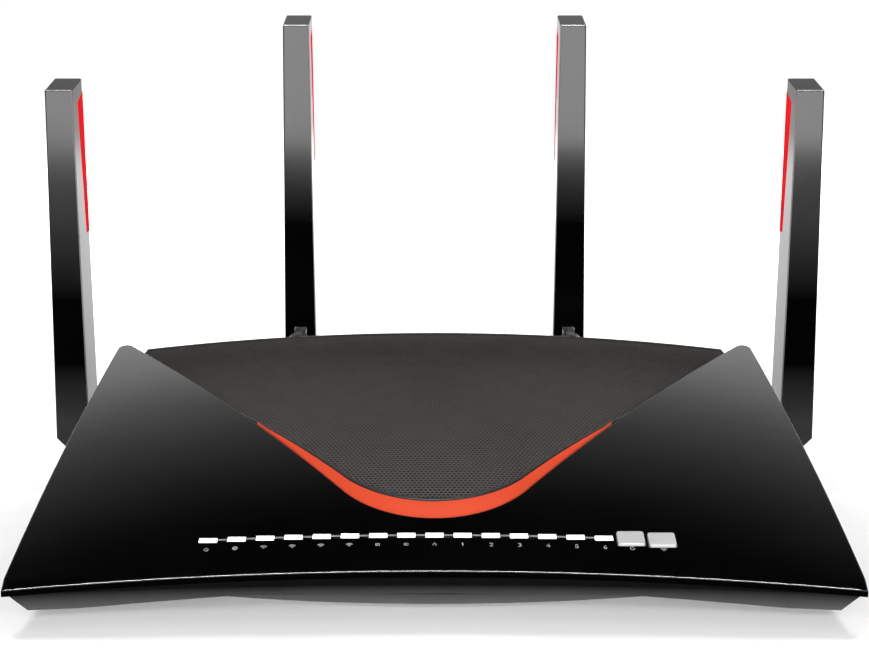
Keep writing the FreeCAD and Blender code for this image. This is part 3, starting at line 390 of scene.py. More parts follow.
def sliced(bm, place, facing, outer_off=False):
    """Cut a mesh in the making along a plane, and drop what lies in front of the plane if asked."""
    geometry = list(bm.verts) + list(bm.edges) + list(bm.faces)
    bmesh.ops.bisect_plane(bm, geom=geometry, plane_co=place, plane_no=facing, clear_outer=outer_off)


def rounded_piece(name, bm, bevel, segments=2):
    """A piece from a mesh in the making, with its corners rounded."""
    mesh = bpy.data.meshes.new(name)
    bm.to_mesh(mesh)
    bm.free()
    piece = new_piece(name, mesh)
    mesh.shade_smooth()
    mesh.set_sharp_from_angle(angle=math.radians(35))
    if bevel:
        rounding = piece.modifiers.new("rounding", "BEVEL")
        rounding.width = bevel
        rounding.segments = segments
        rounding.limit_method = "ANGLE"
        rounding.angle_limit = math.radians(35)
        rounding.use_clamp_overlap = False
        rounding.harden_normals = True
    return piece


def refine(node, body, material, slot_name, bevel, segments=2):
    """Show a CAD node with rounded corners instead of sharp ones."""
    piece = rounded_piece(node + "_rounded", joined_copy(node), bevel, segments)
    return settle(piece, body, material, slot_name, node)


def turned(name, profile, centre, axis="Z", steps=32):
    """A round solid: profile is (radius, distance along the axis), from one end on the axis to the other."""
    verts = []
    faces = []
    for radius, along in profile:
        for index in range(steps):
            turn = 2 * math.pi * index / steps
            verts.append((radius * math.cos(turn), radius * math.sin(turn), along))
    for ring in range(len(profile) - 1):
        for index in range(steps):
            following = (index + 1) % steps
            low = ring * steps
            faces.append((low + index, low + following, low + steps + following, low + steps + index))
    turn = {"X": Matrix.Rotation(math.pi / 2, 4, "Y"), "Y": Matrix.Rotation(-math.pi / 2, 4, "X")}.get(axis)
    mesh = bpy.data.meshes.new(name)
    mesh.from_pydata(verts, [], faces)
    if turn:
        mesh.transform(turn)
    mesh.transform(Matrix.Translation(centre))
    bm = bmesh.new()
    bm.from_mesh(mesh)
    bmesh.ops.remove_doubles(bm, verts=bm.verts, dist=0.001 * MM)
    bmesh.ops.dissolve_degenerate(bm, edges=bm.edges, dist=0.001 * MM)
    bmesh.ops.recalc_face_normals(bm, faces=bm.faces)
    bm.to_mesh(mesh)
    bm.free()
    return smooth(new_piece(name, mesh))


def settle(piece, body, material, slot_name, *nodes):
    """Give a finished piece its material and its body, and hide the CAD nodes it stands for; the slot name is
    not used.
    """
    piece.data.materials.clear()
    piece.data.materials.append(material)
    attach(piece, body)
    if nodes:
        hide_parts(*nodes)
    return piece


def paint(piece, material, facing, limit):
    """Give the faces that look in one direction a second material."""
    piece.data.materials.append(material)
    facing = Vector(facing)
    for polygon in piece.data.polygons:
        if polygon.normal.dot(facing) > limit:
            polygon.material_index = len(piece.data.materials) - 1


# ---------------------------------------------------------------- materials

class Nodes:
    """Short ways to add and join the nodes of one material."""

    def __init__(self, material):
        self.tree = material.node_tree
        self.shader = self.tree.nodes["Principled BSDF"]
        self.place = self.tree.nodes.new("ShaderNodeTexCoord").outputs["Object"]

    def join(self, source, target):
        self.tree.links.new(source, target)

    def noise(self, scale, detail=3.0, rough=0.5):
        node = self.tree.nodes.new("ShaderNodeTexNoise")
        node.inputs["Scale"].default_value = scale
        node.inputs["Detail"].default_value = detail
        node.inputs["Roughness"].default_value = rough
        self.join(self.place, node.inputs["Vector"])
        return node.outputs["Fac"]

    def stretched(self, scale):
        node = self.tree.nodes.new("ShaderNodeMapping")
        node.inputs["Scale"].default_value = scale
        self.join(self.place, node.inputs["Vector"])
        return node.outputs["Vector"]

    def axis(self, letter):
        """How far each point lies along one axis of the frame."""
        split = self.tree.nodes.new("ShaderNodeSeparateXYZ")
        self.join(self.place, split.inputs["Vector"])
        return split.outputs[letter]

    def total(self, first, second):
        node = self.tree.nodes.new("ShaderNodeMath")
        node.operation = "ADD"
        self.join(first, node.inputs[0])
        self.join(second, node.inputs[1])
        return node.outputs["Value"]

    def spread(self, source, low, high, start=0.3, end=0.7):
        node = self.tree.nodes.new("ShaderNodeMapRange")
        node.inputs["From Min"].default_value = start
        node.inputs["From Max"].default_value = end
        node.inputs["To Min"].default_value = low
        node.inputs["To Max"].default_value = high
        self.join(source, node.inputs["Value"])
        return node.outputs["Result"]

    def blend(self, source, low, high):
        node = self.tree.nodes.new("ShaderNodeMix")
        node.data_type = "RGBA"
        node.inputs["A"].default_value = (*low, 1)
        node.inputs["B"].default_value = (*high, 1)
        self.join(source, node.inputs["Factor"])
        return node.outputs["Result"]

    def bump(self, source, depth, strength=1.0):
        node = self.tree.nodes.new("ShaderNodeBump")
        node.inputs["Distance"].default_value = depth
        node.inputs["Strength"].default_value = strength
        self.join(source, node.inputs["Height"])
        self.join(node.outputs["Normal"], self.shader.inputs["Normal"])

    def set(self, **values):
        for name, value in values.items():
            self.shader.inputs[name.replace("_", " ")].default_value = value


def grey(level):
    return (level, level, level)


def new_material(name):
    material = bpy.data.materials.new(name)
    material.use_nodes = True
    return material, Nodes(material)


def moulded(name, colour, shade, rough, grain_scale, grain_depth, metal=0.0, shine=0.5):
    """Moulded or plated surface: two close colours, uneven roughness and a fine grain."""
    material, nodes = new_material(name)
    cloud = nodes.noise(40, 4)
    nodes.join(nodes.blend(nodes.spread(cloud, 0, 1), colour, shade), nodes.shader.inputs["Base Color"])
    nodes.join(nodes.spread(nodes.noise(90, 5, 0.6), *rough), nodes.shader.inputs["Roughness"])
    nodes.bump(nodes.noise(grain_scale, 2), grain_depth)
    nodes.set(Metallic=metal, Specular_IOR_Level=shine)
    return material


def black_with_painted_floor_reflection(name):
    """Satin black whose colour turns grey along the bottom edge: a painted reflection of the pale floor."""
    material, nodes = new_material(name)
    height = nodes.axis("Z")
    # Painted reflection: black high up and grey near the bottom edge, standing in for the floor mirrored in
    # the front.
    painted_reflection_share = nodes.spread(height, 1.0, 0.0, 2 * MM, 9.5 * MM)
    nodes.join(nodes.blend(painted_reflection_share, grey(0.001), (0.08, 0.08, 0.082)), nodes.shader.inputs["Base Color"])
    nodes.join(nodes.spread(height, 0.2, 0.06, 3 * MM, 9 * MM), nodes.shader.inputs["Specular IOR Level"])
    nodes.join(nodes.spread(nodes.noise(90, 5, 0.6), 0.2, 0.28), nodes.shader.inputs["Roughness"])
    nodes.bump(nodes.noise(1800, 2), 0.003 * MM)
    return material


def sheet_with_painted_front_light(name):
    """Brownish black coating with painted light: lighter towards the front of the sheet, darker towards the
    back.
    """
    material, nodes = new_material(name)
    # Painted light: the colour runs from lighter at the front of the sheet to darker at the back.
    depth = nodes.spread(nodes.axis("Y"), 0.0, 1.0, back(60 * MM), back(190 * MM))
    painted_light_colour = nodes.blend(depth, (0.075, 0.066, 0.063), (0.02, 0.0158, 0.0145))
    nodes.join(painted_light_colour, nodes.shader.inputs["Base Color"])
    nodes.join(nodes.spread(nodes.noise(90, 5, 0.6), 0.35, 0.45), nodes.shader.inputs["Roughness"])
    nodes.bump(nodes.noise(3000, 2), 0.003 * MM)
    nodes.set(Specular_IOR_Level=0.05)
    return material


def piano_black(name, rough, wave_depth, shine=0.5):
    """Polished black plastic: nearly black, with faint wipe marks and a very slight unevenness."""
    material, nodes = new_material(name)
    marks = nodes.tree.nodes.new("ShaderNodeTexNoise")
    marks.inputs["Scale"].default_value = 14
    marks.inputs["Detail"].default_value = 6
    marks.inputs["Distortion"].default_value = 0.6
    nodes.join(nodes.stretched((1, 3.5, 1)), marks.inputs["Vector"])
    nodes.join(nodes.spread(marks.outputs["Fac"], *rough), nodes.shader.inputs["Roughness"])
    cloud = nodes.spread(nodes.noise(25), 0, 1)
    tint = nodes.blend(cloud, (0.0006, 0.0006, 0.0008), (0.0014, 0.0012, 0.0014))
    nodes.join(tint, nodes.shader.inputs["Base Color"])
    nodes.bump(nodes.noise(9, 1), wave_depth)
    nodes.set(IOR=1.5, Specular_IOR_Level=shine)
    return material


def banded_gloss(name, hinge_height, foot_shine):
    """Polished black that shines towards the tip and at the foot, and stays deep black between."""
    material = piano_black(name, (0.07, 0.11), 0.02 * MM)
    nodes = Nodes(material)
    height = nodes.axis("Z")
    tip = nodes.spread(height, 0.0, 0.36, hinge_height + 62 * MM, hinge_height + 104 * MM)
    foot = nodes.spread(height, foot_shine, 0.0, hinge_height, hinge_height + 30 * MM)
    nodes.join(nodes.total(tip, foot), nodes.shader.inputs["Specular IOR Level"])
    return material


def glowing(name, colour, dim, strength):
    """Frosted light window, a little uneven."""
    material, nodes = new_material(name)
    cloud = nodes.spread(nodes.noise(700, 2), 0, 1)
    nodes.join(nodes.blend(cloud, dim, colour), nodes.shader.inputs["Emission Color"])
    nodes.join(nodes.blend(cloud, dim, colour), nodes.shader.inputs["Base Color"])
    nodes.join(nodes.spread(nodes.noise(400), 0.25, 0.4), nodes.shader.inputs["Roughness"])
    nodes.set(Emission_Strength=strength)
    return material


COVER_GLOSS = piano_black("cover_gloss", (0.045, 0.075), 0.02 * MM)
COVER_EDGE = moulded("cover_edge", grey(0.0008), grey(0.001), (0.3, 0.4), 1800, 0.002 * MM, shine=0.0)
ANTENNA_GLOSS = piano_black("antenna_gloss", (0.07, 0.11), 0.02 * MM, 0.18)
SIDE_FRONT = banded_gloss("side_antenna_front", HINGES["side"][2], 0.4)
REAR_FRONT = banded_gloss("rear_antenna_front", HINGES["rear"][2], 0.02)
HOUSING = black_with_painted_floor_reflection("housing_satin")
PANEL = moulded("panel_matt", (0.01, 0.01, 0.0105), (0.014, 0.014, 0.0145), (0.42, 0.55), 2600, 0.012 * MM)
ORANGE = moulded("accent_orange", (0.6, 0.062, 0.024), (0.63, 0.07, 0.028), (0.55, 0.65), 2200, 0.006 * MM,
                 shine=0.03)
RED = moulded("accent_red", (0.62, 0.008, 0.012), (0.68, 0.011, 0.015), (0.35, 0.45), 2200, 0.006 * MM,
              shine=0.0)
GRILLE = sheet_with_painted_front_light("grille_steel")
# Painted highlight: pinkish grey for the rounded edges of the black blades.
ANTENNA_PAINTED_HIGHLIGHT = moulded("antenna_painted_highlight", (0.15, 0.12, 0.12), (0.18, 0.145, 0.145), (0.25, 0.35), 1800,
                       0.002 * MM,
                       shine=0.8)
KNUCKLE = moulded("knuckle_black", grey(0.0015), grey(0.0025), (0.3, 0.4), 2400, 0.004 * MM, shine=0.03)
MATT_BLACK = moulded("matt_black", grey(0.004), grey(0.006), (0.4, 0.5), 2400, 0.006 * MM, shine=0.3)
PRINT = moulded("white_print", (0.5, 0.5, 0.51), (0.56, 0.56, 0.57), (0.5, 0.6), 2500, 0.002 * MM, shine=0.2)
# Painted shade: a near-black sheet under the grille, standing in for the shadowed inside.
SHADE_SHEET = moulded("painted_shade_sheet", (0.002, 0.002, 0.002), (0.004, 0.0035, 0.003), (0.8, 0.95), 1500, 0.02 * MM)
LIGHT = glowing("light_window", (1, 1, 1), (0.86, 0.88, 0.9), 1.0)
LIGHT_BAR = glowing("light_bar", grey(0.2), (0.12, 0.12, 0.13), 0.35)
BUTTON = moulded("button_frost", (0.46, 0.46, 0.47), (0.52, 0.52, 0.53), (0.3, 0.4), 900, 0.004 * MM)
BOARD = moulded("solder_mask", (0.008, 0.07, 0.025), (0.012, 0.1, 0.035), (0.3, 0.4), 600, 0.01 * MM)
PAD = moulded("thermal_pad", (0.3, 0.32, 0.36), (0.36, 0.38, 0.42), (0.7, 0.85), 900, 0.02 * MM)
ALUMINIUM = moulded("milled_aluminium", (0.6, 0.6, 0.62), (0.7, 0.7, 0.72), (0.28, 0.42), 1200, 0.006 * MM,
                    metal=1.0)
STEEL = moulded("plated_steel", (0.5, 0.5, 0.51), (0.6, 0.6, 0.62), (0.24, 0.36), 1500, 0.004 * MM, metal=1.0)
BRASS = moulded("gold_plate", (0.72, 0.48, 0.16), (0.82, 0.58, 0.22), (0.18, 0.3), 1500, 0.003 * MM,
                metal=1.0)
JACK = moulded("jack_plastic", grey(0.012), grey(0.018), (0.4, 0.5), 2200, 0.008 * MM)
RUBBER = moulded("foot_rubber", grey(0.012), grey(0.02), (0.75, 0.9), 1400, 0.03 * MM)

NODE_FINISHES = {
    "housing_black": HOUSING, "cover_gloss": COVER_GLOSS, "accent_orange": ORANGE, "accent_red": RED,
    "grille_dark": GRILLE, "antenna_black": ANTENNA_GLOSS, "light_white": LIGHT, "button_grey": BUTTON,
    "board_green": BOARD, "pad_grey": PAD, "aluminium": ALUMINIUM, "steel": STEEL, "brass": BRASS,
    "jack_black": JACK, "rubber": RUBBER,
}


def finish_nodes():
    """Every CAD node that stays on show gets the finish of its slot."""
    for row in frame["record"]["subparts"]:
        node = bpy.data.objects[row["node"]]
        material = NODE_FINISHES[row["material_slot"]]
        for index in range(max(1, len(node.material_slots))):
            if node.material_slots:
                node.material_slots[index].link = "OBJECT"
                node.material_slots[index].material = material


# ---------------------------------------------------------------- camera, light and floor

def make_camera():
    """Camera in front of the middle, looking slightly down."""
    data = bpy.data.cameras.new("camera")
    data.sensor_width = SENSOR_WIDTH
    data.lens = LENS
    camera = bpy.data.objects.new("camera", data)
    bpy.context.scene.collection.objects.link(camera)
    camera.location = (0, back(-CAMERA_AHEAD), CAMERA_HEIGHT)
    camera.rotation_euler = (math.radians(90 - CAMERA_DOWN), 0, 0)
    bpy.context.scene.camera = camera


def area_light(name, place, target, size, power, mirrored=True, lights_up=True):
    """A rectangular light; mirrored shows it in reflections, lights_up lets it brighten surfaces."""
    data = bpy.data.lights.new(name, "AREA")
    data.shape = "RECTANGLE"
    data.size = size[0]
    data.size_y = size[1]
    data.energy = power
    light = bpy.data.objects.new(name, data)
    bpy.context.scene.collection.objects.link(light)
    light.location = place
    aim = Vector(target) - Vector(place)
    light.rotation_euler = aim.to_track_quat("-Z", "Y").to_euler()
    light.visible_camera = False
    light.visible_glossy = mirrored
    light.visible_diffuse = lights_up


# Brightness of the room at each height above the horizon, in degrees.
SKY_STOPS = (
    (-90, 1.05),
    (3, 1.05),
    (12, 0.6),
    (30, 0.5),
    (40, 1.6),
    (46, 2.35),
    (47.5, 2.2),
    (48.3, 1.84),
    (49, 1.35),
    (49.5, 0.92),
    (50.3, 0.63),
    (51, 0.45),
    (51.7, 0.3),
    (52.4, 0.2),
    (53.1, 0.1),
    (54.5, 0.005),
    (90, 0.005),
)


def make_sky():
    """Room light: pale around the horizon, brightest part-way up, dark overhead."""
    world = bpy.data.worlds.new("studio")
    world.use_nodes = True
    tree = world.node_tree
    place = tree.nodes.new("ShaderNodeTexCoord")
    split = tree.nodes.new("ShaderNodeSeparateXYZ")
    tree.links.new(place.outputs["Generated"], split.inputs["Vector"])
    height = tree.nodes.new("ShaderNodeMath")
    height.operation = "ARCSINE"
    tree.links.new(split.outputs["Z"], height.inputs[0])
    share = tree.nodes.new("ShaderNodeMapRange")
    share.inputs["From Min"].default_value = -math.pi / 2
    share.inputs["From Max"].default_value = math.pi / 2
    tree.links.new(height.outputs["Value"], share.inputs["Value"])
    ramp = tree.nodes.new("ShaderNodeValToRGB")
    peak = max(value for _, value in SKY_STOPS)
    stops = ramp.color_ramp.elements
    while len(stops) < len(SKY_STOPS):
        stops.new(0.5)
    for index, (degrees, value) in enumerate(SKY_STOPS):
        stops[index].position = (degrees + 90) / 180
        stops[index].color = (value / peak, value / peak, value / peak, 1)
    tree.links.new(share.outputs["Result"], ramp.inputs["Fac"])
    tree.links.new(ramp.outputs["Color"], tree.nodes["Background"].inputs["Color"])
    tree.nodes["Background"].inputs["Strength"].default_value = peak
    bpy.context.scene.world = world


def make_floor():
    """A wide pale floor that glows faintly, more so far away, to stay white outside the shadow."""
    mesh = bpy.data.meshes.new("floor")
    reach = 6.0
    near_glow = 0.24
    far_glow = 0.8
    front_glow = 0.6
    mesh.from_pydata([(-reach, -reach, 0), (reach, -reach, 0), (reach, reach, 0), (-reach, reach, 0)], [],
                     [(0, 1, 2, 3)])
    floor = new_piece("floor", mesh)
    material, nodes = new_material("pale_floor")
    cloud = nodes.spread(nodes.noise(3), 0, 1)
    nodes.join(nodes.blend(cloud, grey(0.63), grey(0.64)), nodes.shader.inputs["Base Color"])
    distance = nodes.axis("Y")
    behind = nodes.spread(distance, near_glow, far_glow, back(40 * MM), back(800 * MM))
    ahead = nodes.spread(distance, front_glow, 0.0, back(-3500 * MM), back(-1500 * MM))
    nodes.join(nodes.total(behind, ahead), nodes.shader.inputs["Emission Strength"])
    nodes.set(Roughness=0.9, Specular_IOR_Level=0.0, Emission_Color=(1, 1, 1, 1))
    mesh.materials.append(material)


def make_studio():
    """Room light, floor, a softbox in front, a strip seen only in reflections and two keys behind."""
    bpy.context.scene.view_settings.view_transform = "Standard"
    make_sky()
    make_floor()
    middle = (0, 0, 0)
    area_light("front softbox", (0, back(-2500 * MM), 0.61), (0, 0, 0.61), (2.4, 1.2), 65)
    area_light("edge strip", (0, back(-600 * MM), 1.4), middle, (0.9, 0.07), 60, lights_up=False)
    for side in (-1, 1):
        area_light("rear key", (side * 1.35, back(2340 * MM), 1.32), middle, (0.35, 0.35), 72, mirrored=False)


# ---------------------------------------------------------------- cover and lights

def cover_loop():
    right = [
        (FRONT_HALF_WIDTH, 0),
        (*CORNER, SIDE_RADIUS, -1),
        (*WING, WING_TIP_RADIUS, -1),
        (*VEE_TIP, LONG_RADIUS, -1),
        VEE_BEND,
    ]
    return loop_of(both_sides(right, (FRONT_RADIUS, 1), (VEE_BEND_RADIUS, 1)), 3 * MM)


def row_distance(x):
    """How far back the row of lights lies; it runs parallel to the front edge."""
    return LIGHT_ROW - x * x / (FRONT_RADIUS * 2)


def cover_opening(x, size, room):
    """Outline of a rounded opening in the cover, with room round the piece that fills it."""
    depth = (size[1] + room * 2) * math.cos(COVER_SLOPE)
    return rounded(rectangle(x, row_distance(x), size[0] + room * 2, depth), OPENING_CORNER, 3)


def make_cover():
    openings = [cover_opening(LIGHT_PITCH * index, LIGHT_SIZE, FIT) for index in LIGHT_INDICES]
    openings += [cover_opening(x, BUTTON_SIZE, GAP) for x in BUTTONS.values()]
    cover = slab("cover", [cover_loop()] + openings, -COVER_THICKNESS, 0, on_cover, COVER_RIM, 0.2 * MM, 4,
                 SLOT_RIM)
    settle(cover, "housing", COVER_GLOSS, "cover_gloss", "top_cover")
    paint(cover, COVER_EDGE, (0, -math.cos(COVER_SLOPE), -math.sin(COVER_SLOPE)), 0.85)


def make_lights():
    """Fifteen frosted windows that lie just proud of the cover."""
    for index in LIGHT_INDICES:
        x = LIGHT_PITCH * index
        depth = LIGHT_SIZE[1] * math.cos(COVER_SLOPE)
        loop = rounded(rectangle(x, row_distance(x), LIGHT_SIZE[0], depth), WINDOW_CORNER, 3)
        number = index - LIGHT_INDICES[0] + 1
        window = slab(f"light_{number:02d}", [loop], -COVER_THICKNESS * 1.6, 0.05 * MM, on_cover, 0.2 * MM)
        settle(window, "housing", LIGHT, "light_white")


def make_buttons():
    """Two caps that stand proud of the cover."""
    for name, x in BUTTONS.items():
        depth = BUTTON_SIZE[1] * math.cos(COVER_SLOPE)
        loop = rounded(rectangle(x, row_distance(x), BUTTON_SIZE[0], depth), BUTTON_CORNER, 6)
        foot = -COVER_THICKNESS * 1.2
        cap = slab(name + "_cap", [loop], foot, BUTTON_RISE, on_cover, 0.5 * MM, 0.1 * MM, 4)
        settle(cap, name, BUTTON, "button_grey", name)


def sweep(centre, radius, start, end, count=10):
    """Points along part of a circle, angles in degrees."""
    points = []
    for index in range(count + 1):
        turn = math.radians(start + (end - start) * index / count)
        points.append((centre[0] + radius * math.cos(turn), centre[1] + radius * math.sin(turn)))
    return points


# Each sign is a list of lines drawn in a unit square.
POWER_SIGN = [sweep((0.5, 0.45), 0.42, 125, 415, 14), [(0.5, 0.5), (0.5, 1)]]
GLOBE_SIGN = [sweep((0.5, 0.5), 0.48, 0, 330, 16), [(0.04, 0.5), (0.96, 0.5)], [(0.5, 0.04), (0.5, 0.96)]]
WAVE_SIGN = [sweep((0.5, 0), radius, 45, 135, 6) for radius in (0.25, 0.6, 0.95)]
DRIVE_SIGN = [[(0.1, 0.2), (0.9, 0.2), (0.9, 0.8), (0.1, 0.8), (0.1, 0.26)], [(0.3, 0.5), (0.6, 0.5)]]
LINK_SIGN = [[(0.2, 0.1), (0.2, 0.6), (0.8, 0.6), (0.8, 0.1)], [(0.5, 0.6), (0.5, 1)]]
ARROW_SIGN = [sweep((0.5, 0.5), 0.45, 60, 350, 12), [(0.5, 1.05), (0.74, 0.88), (0.6, 0.62)]]
DIGITS = (
    [[(0.25, 0.8), (0.5, 1), (0.5, 0)]],
    [[(0.15, 0.75), (0.3, 0.97), (0.6, 0.98), (0.78, 0.75), (0.7, 0.5), (0.15, 0), (0.85, 0)]],
    [[(0.18, 0.9), (0.5, 1), (0.78, 0.8), (0.7, 0.58), (0.4, 0.52)],
     [(0.45, 0.52), (0.8, 0.38), (0.8, 0.12), (0.5, 0), (0.15, 0.1)]],
    [[(0.65, 0), (0.65, 1), (0.1, 0.3), (0.9, 0.3)]],
    [[(0.8, 1), (0.3, 1), (0.22, 0.56), (0.6, 0.6), (0.82, 0.35), (0.7, 0.06), (0.4, 0), (0.15, 0.1)]],
    [[(0.7, 1), (0.35, 0.8), (0.18, 0.35), (0.3, 0.05), (0.6, 0), (0.8, 0.2), (0.7, 0.5), (0.25, 0.45)]],
)
SIGNS = (POWER_SIGN, GLOBE_SIGN) + (WAVE_SIGN,) * 4 + (DRIVE_SIGN,) * 2 + (LINK_SIGN,)


def ribbon(path, width):
    """Closed outline round an open path."""
    left = []
    right = []
    for index, point in enumerate(path):
        before = Vector(path[max(index - 1, 0)])
        after = Vector(path[min(index + 1, len(path) - 1)])
        along = (after - before).normalized()
        across = Vector((-along.y, along.x)) * width / 2
        left.append(tuple(Vector(point) + across))
        right.append(tuple(Vector(point) - across))
    return right + left[::-1]


def printed(name, loops, material, shape=on_cover, slot_name="cover_gloss"):
    """Thin marks on a surface, all in one mesh."""
    bm = bmesh.new()
    for loop in loops:
        mark = slab("mark", [loop], -0.05 * MM, PRINT_HEIGHT, shape)
        bm.from_mesh(mark.data)
        spent = mark.data
        bpy.data.objects.remove(mark)
        bpy.data.meshes.remove(spent)
    mesh = bpy.data.meshes.new(name)
    bm.to_mesh(mesh)
    bm.free()
    return settle(new_piece(name, mesh), "housing", material, slot_name)


def make_marks():
    """Generic signs below the lights and buttons, and the faint bar that joins the lights."""
    size = SIGN_SIZE
    places = [(LIGHT_PITCH * index, sign) for index, sign in zip(LIGHT_INDICES, SIGNS + DIGITS)]
    places += [(BUTTONS["wps_button"], ARROW_SIGN), (BUTTONS["wifi_button"], WAVE_SIGN)]
    loops = []
    for x, sign in places:
        low = row_distance(x) - SIGN_BELOW_LIGHT
        for path in sign:
            loops.append(ribbon([(x + (u - 0.5) * size, low + v * size) for u, v in path], COVER_LINE))
    printed("cover_print", loops, PRINT)
    gaps = []
    room = (LIGHT_PITCH - LIGHT_SIZE[0]) / 2 - FIT * 4
    for index in LIGHT_INDICES[:-1]:
        x = LIGHT_PITCH * (index + 0.5)
        ends = [(x - room, row_distance(x - room)), (x + room, row_distance(x + room))]
        gaps.append(ribbon(ends, LIGHT_BAR_WIDTH))
    printed("light_link", gaps, LIGHT_BAR)


# ---------------------------------------------------------------- grille and accent lip

def grille_loop(inset=0.0):
    """Outline of the grille, moved in by a distance."""
    shoulder = VEE_TIP[1] + GAP * 4
    right = [
        (*GRILLE_BEND, LONG_RADIUS, 1),
        (*LIP_END, LONG_RADIUS, 1),
        (VEE_TIP[0] - GAP, VEE_TIP[1]),
        (VEE_TIP[0], shoulder),
        (WING[0] - 1.9 * MM, shoulder),
        GRILLE_REAR,
    ]
    loop = loop_of(both_sides(right, (LIP_BEND_RADIUS, -1), (GRILLE_REAR_RADIUS, -1)), 3 * MM)
    return moved_in(loop, inset) if inset else loop


def on_dome(x, y, z):
    """Plan position and height above the domed surface of the grille."""
    return (x, back(y), grille_height(x, y) + z)


def flat_region(name, loop, low_x, high_x):
    """The part of an outline between two sides, as a flat face at height zero."""
    bm = bmesh.new()
    bm.faces.new([bm.verts.new((x, back(y), 0)) for x, y in loop])
    for side, outer in ((low_x, 1), (high_x, -1)):
        sliced(bm, (side, 0, 0), (-outer, 0, 0), outer_off=True)
    bmesh.ops.triangulate(bm, faces=bm.faces)
    mesh = bpy.data.meshes.new(name)
    bm.to_mesh(mesh)
    bm.free()
    return new_piece(name, mesh)


class Tree:
    """Short ways to build a geometry tree with named inputs."""

    def __init__(self, name, inputs):
        self.group = bpy.data.node_groups.new(name, "GeometryNodeTree")
        self.group.interface.new_socket("Geometry", in_out="INPUT", socket_type="NodeSocketGeometry")
        for label, kind in inputs.items():
            self.group.interface.new_socket(label, in_out="INPUT", socket_type=kind)
        self.group.interface.new_socket("Geometry", in_out="OUTPUT", socket_type="NodeSocketGeometry")
        self.inputs = self.group.nodes.new("NodeGroupInput").outputs
        self.output = self.group.nodes.new("NodeGroupOutput").inputs["Geometry"]

    def add(self, kind, inputs=None, **settings):
        node = self.group.nodes.new(kind)
        for label, value in settings.items():
            setattr(node, label, value)
        for label, value in (inputs or {}).items():
            self.feed(node.inputs[label], value)
        return node.outputs

    def feed(self, socket, value):
        if isinstance(value, bpy.types.NodeSocket):
            self.group.links.new(value, socket)
        else:
            socket.default_value = value

    def sum(self, operation, *values):
        node = self.group.nodes.new("ShaderNodeMath")
        node.operation = operation
        for socket, value in zip(node.inputs, values):
            self.feed(socket, value)
        return node.outputs["Value"]

    def vector(self, x=0.0, y=0.0, z=0.0):
        return self.add("ShaderNodeCombineXYZ", {"X": x, "Y": y, "Z": z})["Vector"]

    def finish(self, geometry):
        realized = self.add("GeometryNodeRealizeInstances", {"Geometry": geometry})["Geometry"]
        painted = self.add("GeometryNodeSetMaterial", {
            "Geometry": realized, "Material": self.inputs["Material"],
        })
        self.group.links.new(painted["Geometry"], self.output)
        return self.group


def grown(piece, tree, **values):
    """Run a geometry tree on a piece and keep the result as plain mesh."""
    modifier = piece.modifiers.new(tree.name, "NODES")
    modifier.node_group = tree
    sockets = {item.name: item.identifier for item in tree.interface.items_tree if item.in_out == "INPUT"}
    for label, value in values.items():
        modifier[sockets[label.replace("_", " ")]] = value
    return applied(piece)


def honeycomb_tree():
    """Staggered rows of holes over the region given, then bent onto the dome."""
    tree = Tree("honeycomb", {
        "Pitch": "NodeSocketFloat", "Hole Share": "NodeSocketFloat", "Depth": "NodeSocketFloat",
        "Columns": "NodeSocketInt", "Rows": "NodeSocketInt", "Middle": "NodeSocketFloat",
        "Crest": "NodeSocketFloat", "Crest Height": "NodeSocketFloat", "Length Radius": "NodeSocketFloat",
        "Width Radius": "NodeSocketFloat", "Material": "NodeSocketMaterial",
    })
    wanted = tree.inputs
    pitch = wanted["Pitch"]
    row_step = tree.sum("MULTIPLY", pitch, math.sqrt(3) / 2)
    grid = tree.add("GeometryNodeMeshGrid", {
        "Vertices X": wanted["Columns"], "Vertices Y": wanted["Rows"],
        "Size X": tree.sum("MULTIPLY", pitch, tree.sum("SUBTRACT", wanted["Columns"], 1.0)),
        "Size Y": tree.sum("MULTIPLY", row_step, tree.sum("SUBTRACT", wanted["Rows"], 1.0)),
    })["Mesh"]
    number = tree.add("GeometryNodeInputIndex")["Index"]
    row = tree.sum("MODULO", number, wanted["Rows"])
    odd = tree.sum("MODULO", row, 2.0)
    shift = tree.vector(tree.sum("MULTIPLY", odd, tree.sum("MULTIPLY", pitch, 0.5)), wanted["Middle"])
    staggered = tree.add("GeometryNodeSetPosition", {"Geometry": grid, "Offset": shift})["Geometry"]
    place = tree.add("GeometryNodeInputPosition")["Position"]
    below = tree.add("ShaderNodeVectorMath", {0: place, 1: (0, 0, -1)}, operation="ADD")["Vector"]
    hit = tree.add("GeometryNodeRaycast", {
        "Target Geometry": wanted["Geometry"], "Source Position": below, "Ray Direction": (0, 0, 1),
        "Ray Length": 2.0,
    })["Is Hit"]
    outside = tree.add("FunctionNodeBooleanMath", {0: hit}, operation="NOT")["Boolean"]
    kept = tree.add("GeometryNodeDeleteGeometry", {"Geometry": staggered, "Selection": outside})["Geometry"]
    cell = hexagon_cell(tree, pitch)
    cells = tree.add("GeometryNodeInstanceOnPoints", {"Points": kept, "Instance": cell})["Instances"]
    joined = tree.add("GeometryNodeRealizeInstances", {"Geometry": cells})["Geometry"]
    welded = tree.add("GeometryNodeMergeByDistance", {"Geometry": joined, "Distance": 0.01 * MM})["Geometry"]
    bent = tree.add("GeometryNodeSetPosition", {"Geometry": welded, "Offset": dome_lift(tree)})["Geometry"]
    return tree.finish(bent)


